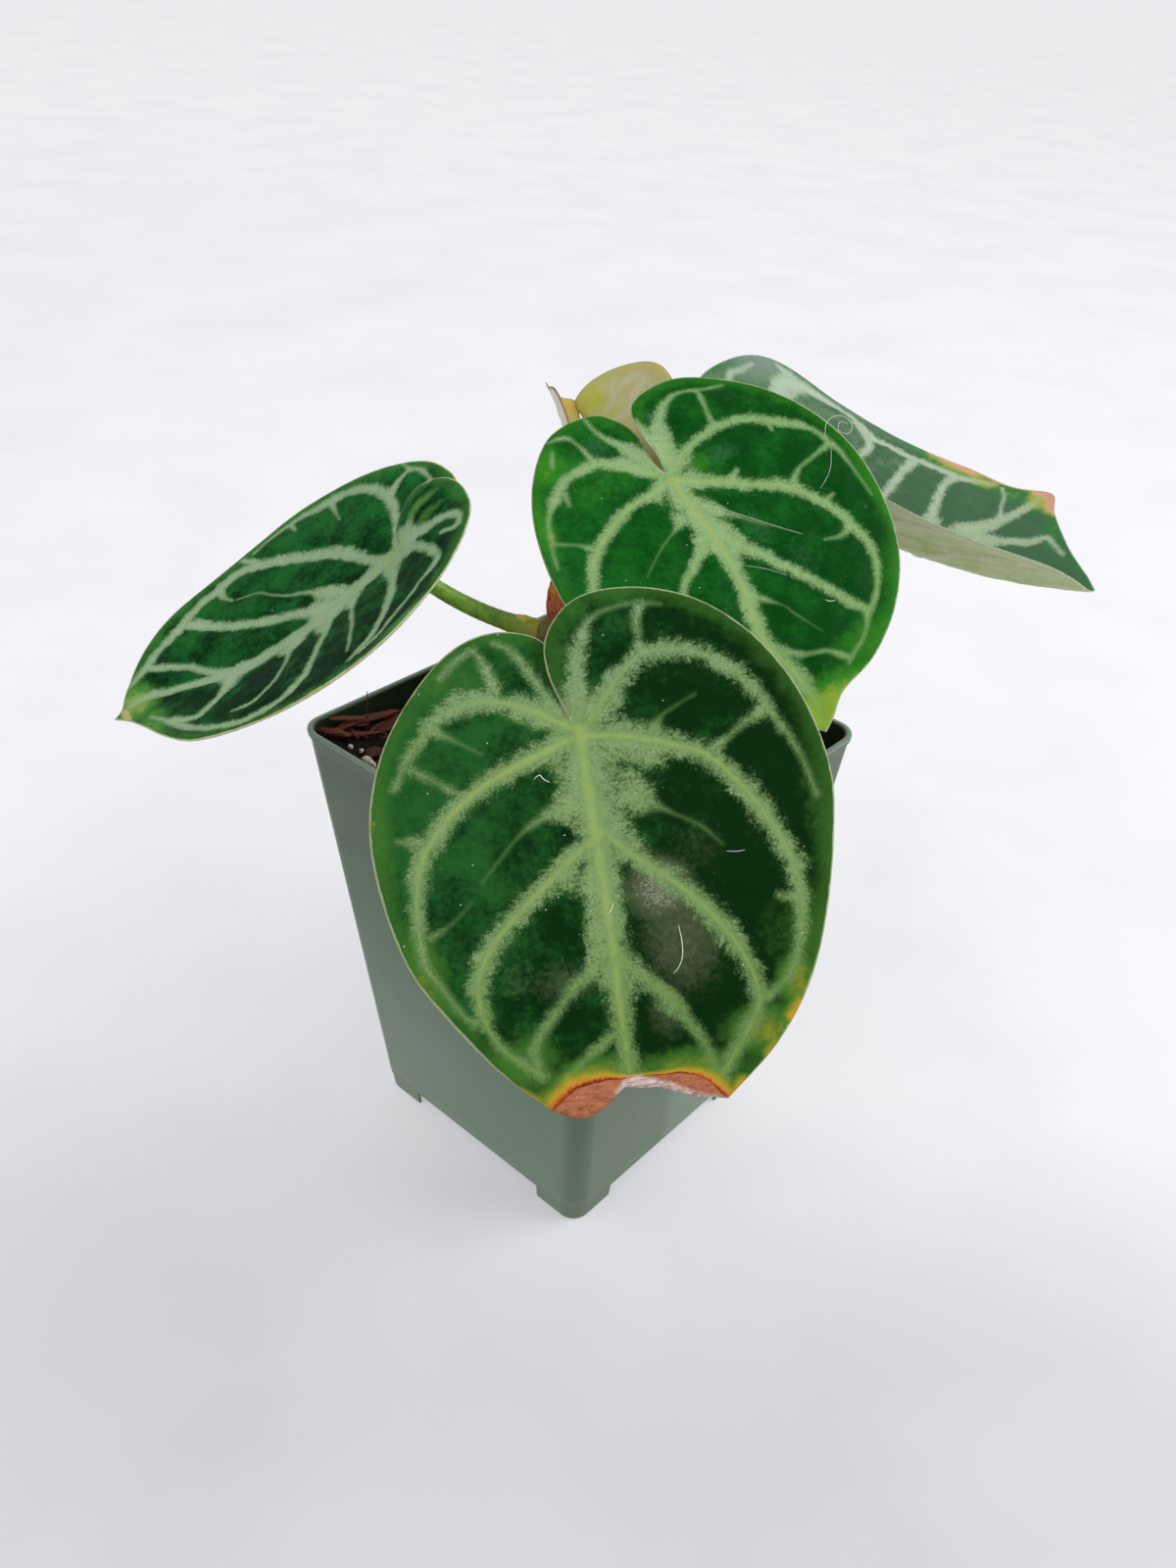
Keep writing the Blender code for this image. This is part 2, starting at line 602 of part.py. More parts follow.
def opened(leaf, flat, right):
    """The flat leaf with its sinus spread open, so that lobes which overlap lie apart."""
    pole = np.array(leaf["sinus"])
    across, along = flat[:, 0] - pole[0], pole[1] - flat[:, 1]
    angle = np.arctan2(across, along)
    angle = np.where(right & (angle < -1.5), angle + 2 * np.pi, angle)
    angle = np.where(~right & (angle > 1.5), angle - 2 * np.pi, angle)
    reach = np.hypot(across, along)
    return np.stack([reach * np.sin(SINUS_OPENING * angle), -reach * np.cos(SINUS_OPENING * angle)], axis=1)


def closed_up(leaf, spread):
    """The reverse of opened, and which half of the leaf each point is in."""
    pole = np.array(leaf["sinus"])
    angle = np.arctan2(spread[:, 0], -spread[:, 1]) / SINUS_OPENING
    reach = np.hypot(spread[:, 0], spread[:, 1])
    flat = np.stack([pole[0] + reach * np.sin(angle), pole[1] - reach * np.cos(angle)], axis=1)
    right = np.where(flat[:, 1] > pole[1], angle > 0, flat[:, 0] > 0)
    return flat, right


def distance_to(points, line):
    """How far each point is from the nearest stretch of a line."""
    start, way = line[:-1], np.diff(line, axis=0)
    offset = points[:, None] - start[None]
    share = np.clip((offset * way).sum(2) / (way**2).sum(1), 0, 1)
    return np.linalg.norm(offset - share[..., None] * way, axis=2).min(axis=1)


def blade_layout(leaf):
    """Places and triangles of the opened blade, with the number of edge and vein points in them."""
    edge, split = leaf_outline(leaf, OUTLINE_STEP)
    on_right = np.arange(len(edge)) < (split if not leaf["tip"] else len(edge) // 2)
    edge = opened(leaf, edge, on_right)
    lines = []
    for vein in leaf["veins"]:
        line = through(vein, VEIN_STEP)
        lines.append(opened(leaf, line, np.full(len(line), line[-1, 0] > 0)))
    low, high = edge.min(axis=0), edge.max(axis=0)
    rows = np.arange(low[1], high[1], GRID_STEP * 0.87)
    grid = np.array(
        [(x + (i % 2) * GRID_STEP / 2, y) for i, y in enumerate(rows) for x in np.arange(low[0], high[0], GRID_STEP)]
    )
    near = np.min([distance_to(grid, line) for line in lines], axis=0)
    rim = distance_to(grid, np.vstack([edge, edge[:1]]))
    grid = grid[(near > VEIN_CLEARANCE) & (rim > EDGE_CLEARANCE)]
    points, edges = list(edge), []
    for line in lines:
        keep = line[distance_to(line, np.vstack([edge, edge[:1]])) > EDGE_CLEARANCE / 2]
        start = len(points)
        points += list(keep)
        edges += [(start + i, start + i + 1) for i in range(len(keep) - 1)]
    veins_end = len(points)
    points += list(grid)
    ring = [list(range(len(edge)))]
    made = delaunay_2d_cdt([Vector(p) for p in points], edges, ring, 1, 1e-3)
    places = np.array([(p.x, p.y) for p in made[0]])
    is_edge = np.array([any(v < len(edge) for v in ids) for ids in made[3]])
    is_vein = np.array([any(len(edge) <= v < veins_end for v in ids) or not ids for ids in made[3]])
    triangles = np.array([f for f in made[2] if len(f) == 3])
    return places, triangles, is_edge, is_vein, lines


def make_blade(key, leaf, material_name):
    places, triangles, is_edge, is_vein, lines = blade_layout(leaf)
    flat, right = closed_up(leaf, places)
    edge = places[is_edge]
    rim = np.min(np.linalg.norm(places[:, None] - edge[None], axis=2), axis=1)
    near = np.min([distance_to(places, line) for line in lines], axis=0)
    size, count, phase = leaf["wave"]
    turn = np.arctan2(places[:, 0], -places[:, 1])
    lift = size * np.sin(count * turn + phase) * np.exp(-rim / 7.0)
    lift = lift + QUILT * (1 - np.exp(-((near / 5.0) ** 2))) * (1 - np.exp(-rim / 5.0))
    middle = shape_leaf(leaf, flat, right)
    nudge = 0.4
    east = shape_leaf(leaf, flat + (nudge, 0), right) - shape_leaf(leaf, flat - (nudge, 0), right)
    north = shape_leaf(leaf, flat + (0, nudge), right) - shape_leaf(leaf, flat - (0, nudge), right)
    normal = np.cross(east, north)
    normal /= np.linalg.norm(normal, axis=1)[:, None]
    midrib = distance_to(places, lines[0]) < 0.5
    rib = np.where(is_vein & ~is_edge, 1.0, 0.0)
    above = lift + BLADE_THICKNESS / 2 + rib * (RIB_ABOVE + MIDRIB_EXTRA * midrib)
    below = lift - BLADE_THICKNESS / 2 - rib * (RIB_BELOW + 2 * MIDRIB_EXTRA * midrib)
    points = np.vstack([middle + normal * above[:, None], middle + normal * below[:, None]])
    n = len(places)
    faces = [tuple(f) for f in triangles] + [tuple(n + v for v in f[::-1]) for f in triangles]
    sides = {(f[i], f[(i + 1) % 3]) for f in triangles for i in range(3)}
    for a, b in sides:
        if (b, a) not in sides:
            faces += [(b, a, n + a), (b, n + a, n + b)]
    blade = mesh_object(f"leaf_{key}_blade", points, faces, material_name)
    outward(blade)
    soften(blade, 40)
    return blade


def tube(name, path, ahead, radii, sides, material_name=None):
    """A solid bar that follows the path, with flat ends square to the directions in ahead."""
    across = np.cross(ahead[0], (0.0, 0.0, 1.0))
    rings = []
    for centre, way, radius in zip(path, ahead, radii):
        way = way / np.linalg.norm(way)
        across = across - way * (across @ way)
        across /= np.linalg.norm(across)
        up = np.cross(way, across)
        turn = [2 * math.pi * i / sides for i in range(sides)]
        rings.append([centre + radius * (math.cos(a) * across + math.sin(a) * up) for a in turn])
    obj = mesh_object(name, *skin(rings), material_name)
    outward(obj)
    return obj


def bezier(a, b, c, d, count):
    """Points and directions along a Bezier curve."""
    t = np.linspace(0, 1, count)[:, None]
    points = (1 - t) ** 3 * a + 3 * t * (1 - t) ** 2 * b + 3 * t**2 * (1 - t) * c + t**3 * d
    ahead = (1 - t) ** 2 * (b - a) + 2 * t * (1 - t) * (c - b) + t**2 * (d - c)
    return points, ahead


def stub_line(stalk):
    """The root of a stalk's stub on the stem's axis, and its direction."""
    a = math.radians(stalk["leaves_at"])
    way = np.array([math.cos(a), math.sin(a), stalk["rise"]])
    return np.array([*STEM_AT, stalk["height"]]), way / np.linalg.norm(way)


def seat_under(blade, joint, face, radius):
    """How far under the leaf's joint a stalk of this radius ends, so that it all but touches the blade."""
    below = 8.0
    tree = BVHTree.FromPolygons([v.co / MM for v in blade.data.vertices], [p.vertices for p in blade.data.polygons])
    side = Vector(face).orthogonal().normalized()
    rim = [Vector(joint - face * below)]
    rim += [rim[0] + radius * (Matrix.Rotation(math.radians(a), 3, Vector(face)) @ side) for a in range(0, 360, 30)]
    hits = [tree.ray_cast(point, Vector(face))[3] for point in rim]
    return below - min(hit for hit in hits if hit) + SEAT_GAP


def make_petiole(key, leaf, blade):
    stalk = PETIOLES[key]
    root, way = stub_line(stalk)
    start = root + way * (STEM_RADIUS + STUB_LENGTH + SEAT_GAP)
    face = leaf_axes(leaf)[:, 2]
    low, high = stalk["radii"]
    joint = np.array(leaf["joint"])
    end = joint - face * seat_under(blade, joint, face, high)
    path, ahead = bezier(start, start + way * stalk["runs_on"], end - face * stalk["turns_in"], end, PETIOLE_STEPS)
    t = np.linspace(0, 1, PETIOLE_STEPS)
    radii = low + (high - low) * t + 0.2 * high * np.exp(-(((t - 0.93) / 0.06) ** 2))
    radii = radii + (STUB_SWELL - 1) * low * np.exp(-((t / 0.12) ** 2))
    petiole = tube(f"petiole_{key}", path, ahead, radii, PETIOLE_SIDES, "stalk_green")
    if key == "c":
        join_in(petiole, [nub(start, way)], "UNION")
    soften(petiole, 50)
    return petiole


def nub(start, way):
    """The bud on the upper side of the stalk, just out from the stem."""
    turn = Vector(way).to_track_quat("X", "Z").to_matrix()
    middle = Vector(start + way * NUB_ALONG) + turn @ Vector((0, 0, NUB_ABOVE))
    work = bmesh.new()
    bmesh.ops.create_icosphere(work, subdivisions=2, radius=1.0)
    points = [tuple(middle + turn @ Vector([v.co[i] * NUB_SIZE[i] for i in range(3)])) for v in work.verts]
    faces = [[v.index for v in f.verts] for f in work.faces]
    work.free()
    made = mesh_object("nub", points, faces)
    outward(made)
    return made


def make_stem():
    """The short upright stem, ringed where old leaves fell, with a stub for each stalk."""
    rings = []
    foot = SOIL_LEVEL - STEM_DEPTH + SEAT_GAP
    heights = np.linspace(SOIL_LEVEL + 4, STEM_TOP - 4, 2 * STEM_RINGS + 1)
    profile = [(foot, 0.8), (foot + 3, 1.0), (SOIL_LEVEL + 2, 1.0)]
    profile += [(z, 1.04 if i % 2 else 0.94) for i, z in enumerate(heights)]
    profile += [(STEM_TOP - 1.5, 0.85), (STEM_TOP, 0.5)]
    for z, share in profile:
        turn = [2 * math.pi * i / 12 for i in range(12)]
        r = STEM_RADIUS * share
        rings.append([(STEM_AT[0] + r * math.cos(a), STEM_AT[1] + r * math.sin(a), z) for a in turn])
    stem = mesh_object("stem", *skin(rings), "stem_brown")
    outward(stem)
    grown = [dry_scale()]
    for key, stalk in PETIOLES.items():
        root, way = stub_line(stalk)
        path = [root + share * way * (STEM_RADIUS + STUB_LENGTH) for share in (0.2, 0.6, 1.0)]
        radius = stalk["radii"][0] * STUB_SWELL
        grown.append(tube(f"stub_{key}", path, [way] * 3, [1.2 * radius, 1.1 * radius, radius], 10))
    join_in(stem, grown, "UNION")
    soften(stem, 40)
    return stem


def dry_scale():
    """The dry scale leaf at the crown: a thin pointed strip, cupped towards the stem, its foot in the stem."""
    foot, top = np.array(SCALE_FOOT), np.array(SCALE_TOP)
    inward = np.array([STEM_AT[0] - foot[0], STEM_AT[1] - foot[1], 0.0])
    inward /= np.linalg.norm(inward)
    across = np.cross(inward, (0.0, 0.0, 1.0))
    rows, columns = 7, 4
    points = []
    for layer in (0.5, -0.5):
        for i in range(rows):
            t = i / (rows - 1)
            width = SCALE_WIDTH * (0.75 + 0.9 * t - 1.62 * t**2)
            middle = foot + (top - foot) * t - inward * 1.5 * math.sin(math.pi * t)
            for j in range(columns + 1):
                s = j / columns - 0.5
                cup = SCALE_CUP * (2 * s) ** 2 * (1 - t)
                points.append(middle + across * width * s + inward * (cup + layer * SCALE_THICKNESS))
    per = rows * (columns + 1)
    faces = []
    for i in range(rows - 1):
        for j in range(columns):
            a = i * (columns + 1) + j
            quad = (a, a + 1, a + columns + 2, a + columns + 1)
            faces += [quad, tuple(per + v for v in quad[::-1])]
    rim = [j for j in range(columns + 1)]
    rim += [i * (columns + 1) + columns for i in range(1, rows)]
    rim += [(rows - 1) * (columns + 1) + j for j in range(columns - 1, -1, -1)]
    rim += [i * (columns + 1) for i in range(rows - 2, 0, -1)]
    for a, b in zip(rim, rim[1:] + rim[:1]):
        faces.append((b, a, per + a, per + b))
    scale = mesh_object("dry_scale", points, faces)
    outward(scale)
    return scale


def stand_on_origin(objects):
    """Moves the whole plant so that the middle of its bounding box's base is the origin."""
    corners = np.array([v.co for obj in objects for v in obj.data.vertices])
    low, high = corners.min(axis=0), corners.max(axis=0)
    shift = Vector((-(low[0] + high[0]) / 2, -(low[1] + high[1]) / 2, -low[2]))
    for obj in objects:
        obj.data.transform(Matrix.Translation(shift))


def main():
    clear_scene()
    made = [make_pot(), make_soil(), make_stem()]
    for key, leaf in LEAVES.items():
        blade = make_blade(key, leaf, "new_leaf" if key == "e" else "leaf_velvet")
        made += [blade, make_petiole(key, leaf, blade)]
    stand_on_origin(made)


main()
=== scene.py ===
"""The looks of a young velvet-leaved anthurium in a square nursery pot.

Lengths are in millimetres, measured from the middle of the pot's base, and MM turns them to metres.
Each leaf is drawn flat first: x runs across the blade, y from the leaf stalk's joint (0, 0) back into the
lobes, and the leaf's tip is at -y. It is then folded along its midrib, bent along its length and turned
into place. The leaves, stalks, stem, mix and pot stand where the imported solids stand.
"""

import math

import bmesh
import bpy
import numpy as np
from mathutils import Matrix, Vector
from mathutils.geometry import delaunay_2d_cdt


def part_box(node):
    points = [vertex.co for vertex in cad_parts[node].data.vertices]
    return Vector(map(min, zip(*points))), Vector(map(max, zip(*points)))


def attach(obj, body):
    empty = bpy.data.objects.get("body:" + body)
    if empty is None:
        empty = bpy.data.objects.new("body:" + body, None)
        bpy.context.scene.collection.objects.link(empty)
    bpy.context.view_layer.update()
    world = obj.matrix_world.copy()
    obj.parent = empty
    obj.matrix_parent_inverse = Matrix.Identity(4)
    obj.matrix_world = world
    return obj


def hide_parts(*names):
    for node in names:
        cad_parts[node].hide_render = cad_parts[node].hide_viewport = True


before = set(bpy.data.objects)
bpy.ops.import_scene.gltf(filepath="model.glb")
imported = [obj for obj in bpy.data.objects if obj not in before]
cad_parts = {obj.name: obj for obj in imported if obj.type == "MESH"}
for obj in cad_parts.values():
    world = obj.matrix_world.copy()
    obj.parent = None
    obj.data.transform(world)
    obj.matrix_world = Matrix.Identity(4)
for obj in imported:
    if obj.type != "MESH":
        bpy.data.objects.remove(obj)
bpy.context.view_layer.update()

MM = 0.001
POT_LOW, POT_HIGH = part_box("pot")
POT_MIDDLE = np.array([(POT_LOW.x + POT_HIGH.x) / 2, (POT_LOW.y + POT_HIGH.y) / 2, 0.0]) / MM

POT_TOP = 102.0
POT_BASE = 78.2
POT_HEIGHT = 127.0
POT_WALL = 1.3
POT_TOP_RADIUS = 6.5
POT_BASE_RADIUS = 5.5
POT_LIP = 0.5
POT_LIP_HEIGHT = 1.6
FLOOR_UNDERSIDE = 7.0
FLOOR_THICKNESS = 1.5
FOOT_LENGTH = 14.5
FOOT_HEIGHT = 5.7
DRAIN_DIAMETER = 9.0
DRAIN_OFFSET = 21.0
DRAIN_SIDES = 36
CORNER_STEPS = 14
CUT_MARGIN = 1.0

SOIL_LEVEL = 117.0
SOIL_HEAP = 7.0
SOIL_HEAP_REACH = 22.0
SOIL_SEED = 11
CHIP_COUNT = 56
LOOSE_COUNT = 430
PERLITE_COUNT = 46
FIBRE_COUNT = 70
MIX_STEPS = 150
SHRED_ROWS = 9
SHRED_SIDES = 8
SEAT_GAP = 0.3

STEM_AT = (-9.5, 4.5)
STEM_RADIUS = 5.6
STEM_TOP = 149.0
STUB_LENGTH = 3.0
STEM_SIDES = 40
STEM_RINGS = 84
STALK_SIDES = 24
STALK_STEPS = 72
NECK_STEPS = 8
SHEATH_SIDES = 28
SHEATH_RINGS = 12

LEAF_STEP = 0.62
BLADE_THICKNESS = 0.5
QUILT = 0.5
FOLD_SOFTNESS = 4.0
LOBE_SPREAD = 20.0
SINUS_OPENING = 0.8
BEND_STEPS = 241

# Each leaf: its joint, its heading, slope and roll in degrees, its length, the fold and curl of its right
# and left half, its bend ahead of and behind the joint, how far each lobe lifts and over what reach, the
# size, count and phase of its waves, the bottom of its sinus, and its flat outline on each side. Where the
# fold changes along the leaf, there is also its fold at the lobes and the stretch over which it changes.
LEAVES = {
    "a": {
        "joint": (39.5, -46.7, 163.2), "heading": -33.5, "slope": 39.5, "roll": -13.5, "length": 82.0,
        "fold": (5, 4), "curl": (-8, -10), "droop": 20, "back": 6, "lobe_lift": (1.8, -1.5),
        "lift_reach": 60, "wave": (0.5, 6, 0.4), "sinus": (-1.3, 3.4),
        "right": [(-2.4, 6), (-4.4, 14), (-3.6, 21), (1.5, 27), (9, 29.2), (20, 28), (30, 23), (39, 13),
            (45.5, -1), (48, -16), (46.4, -28), (42.2, -43), (36.5, -56), (28, -67), (16.6, -76.3)],
        "left": [(-2.4, 6.5), (-2.2, 12), (-2.2, 18), (-6, 23), (-14.5, 24.8), (-24, 21.5), (-33.5, 12.8),
            (-40.5, 2), (-44.4, -11), (-44.4, -25), (-41, -41), (-34.5, -53), (-26.4, -64.4), (-18, -73)],
        "tip": [(16.6, -76.3), (10, -74.8), (5, -72.4), (0, -71.7), (-3.4, -71.2), (-7, -74),
            (-12.5, -75.7), (-18, -73)],
    },
    "b": {
        "joint": (-6.7, 35.7, 182.8), "heading": -15, "slope": 24, "roll": -16, "length": 77.5,
        "fold": (4.5, 5), "curl": (-10, -10), "droop": 17, "back": 5, "lobe_lift": (1.6, -1.3),
        "lift_reach": 60, "wave": (0.6, 5, 1.3), "sinus": (0.2, 1.3),
        "right": [(0.9, 6), (0.6, 13), (1.3, 21), (5, 25.5), (14.5, 28), (23, 26), (33, 18), (41, 6.5),
            (46, -7), (47.2, -20), (45, -34), (39.8, -47), (31, -58), (20, -66.2), (9, -70.4), (3.5, -75)],
        "left": [(-0.6, 6), (0.3, 13), (-0.3, 20), (-5, 27), (-13.3, 28), (-22, 24.5), (-31, 14),
            (-37.5, 1), (-41, -14), (-41, -28), (-37.5, -41), (-30, -54), (-19, -66), (-8, -72.5),
            (-2.5, -75.5)],
    },
    "c": {
        "joint": (-43.8, -23.4, 167.9), "heading": -117.5, "slope": 38.5, "roll": -3, "length": 80.0,
        "fold": (10, 10.5), "curl": (-6, -5), "droop": -22.5, "back": -5.5, "lobe_lift": (7.5, -0.5),
        "lift_reach": 28, "wave": (0.5, 5, 2.2), "sinus": (0, 1.5),
        "right": [(-1.6, 6), (-2.5, 12), (-1, 18), (4, 22.5), (12, 24), (21, 22.5), (31, 16), (41, 6.5),
            (47, -5), (48.6, -17), (46.5, -32), (41, -48), (34, -60), (24, -67), (12, -72.5), (4, -76.5)],
        "left": [(-1, 6), (1.5, 12), (2, 18), (-3, 22.3), (-12, 23.3), (-23, 20), (-33.5, 10), (-42, -3),
            (-46.6, -17), (-45.5, -31), (-40.5, -47), (-34, -60), (-24, -69), (-11, -75.5), (-3, -78)],
    },
    "d": {
        "joint": (-8.3, 87.9, 169.9), "heading": 26.5, "slope": 30.5, "roll": -1, "length": 95.8,
        "fold": (31.5, 52), "curl": (-67, -63), "fold_at_lobes": (31.5, -5), "fold_run": (32, -26),
        "droop": -36.5, "back": 7, "lobe_lift": (1.0, -1.0), "lift_reach": 60, "wave": (0.7, 5, 0.0),
        "sinus": (0, 2),
        "right": [(1.6, 8.6), (2.7, 19), (5.4, 28), (12.8, 33.2), (25.7, 30.5), (39.6, 23.5), (48, 14),
            (53, -1), (56.7, -15), (55.6, -32), (50.8, -53.5), (42.8, -68.5), (42.3, -81.6), (30, -83),
            (16, -87.7), (5.4, -93.7)],
        "left": [(-1.6, 8.6), (-2.5, 19), (-5, 27), (-11, 31.5), (-20.5, 30), (-29, 22), (-35.5, 9.6),
            (-39, -8.5), (-40.5, -28), (-39, -47), (-33.5, -64), (-25, -78), (-14.5, -87.5), (-5, -93.5)],
    },
    "e": {
        "joint": (-49.0, 51.4, 182.5), "heading": -31, "slope": 22.3, "roll": -36.6, "length": 42.9,
        "fold": (-1, 44), "curl": (29, 233), "droop": 15, "back": 2.3, "lobe_lift": (0.9, -0.9),
        "lift_reach": 34, "wave": (0.4, 4, 0.7), "sinus": (0, 1.2),
        "right": [(-0.2, 3.5), (-0.8, 7), (0.3, 10), (4.7, 11.8), (11.3, 11.3), (18, 8.7), (23.3, 4.8),
            (26.4, 0), (27.6, -6.8), (27.4, -13.7), (25.7, -20.6), (22.4, -27.4), (17.1, -33.9),
            (10.5, -39), (4.8, -41.4)],
        "left": [(-0.8, 3), (-0.5, 6), (-0.2, 9), (-1.6, 12), (-5.5, 13), (-9.8, 14.4), (-12, 10),
            (-15.5, 5.5), (-17.3, 0), (-18.2, -7), (-18, -14), (-17, -20.5), (-14.7, -27.4), (-11.3, -34),
            (-7, -39), (-3, -41.5)],
    },
}

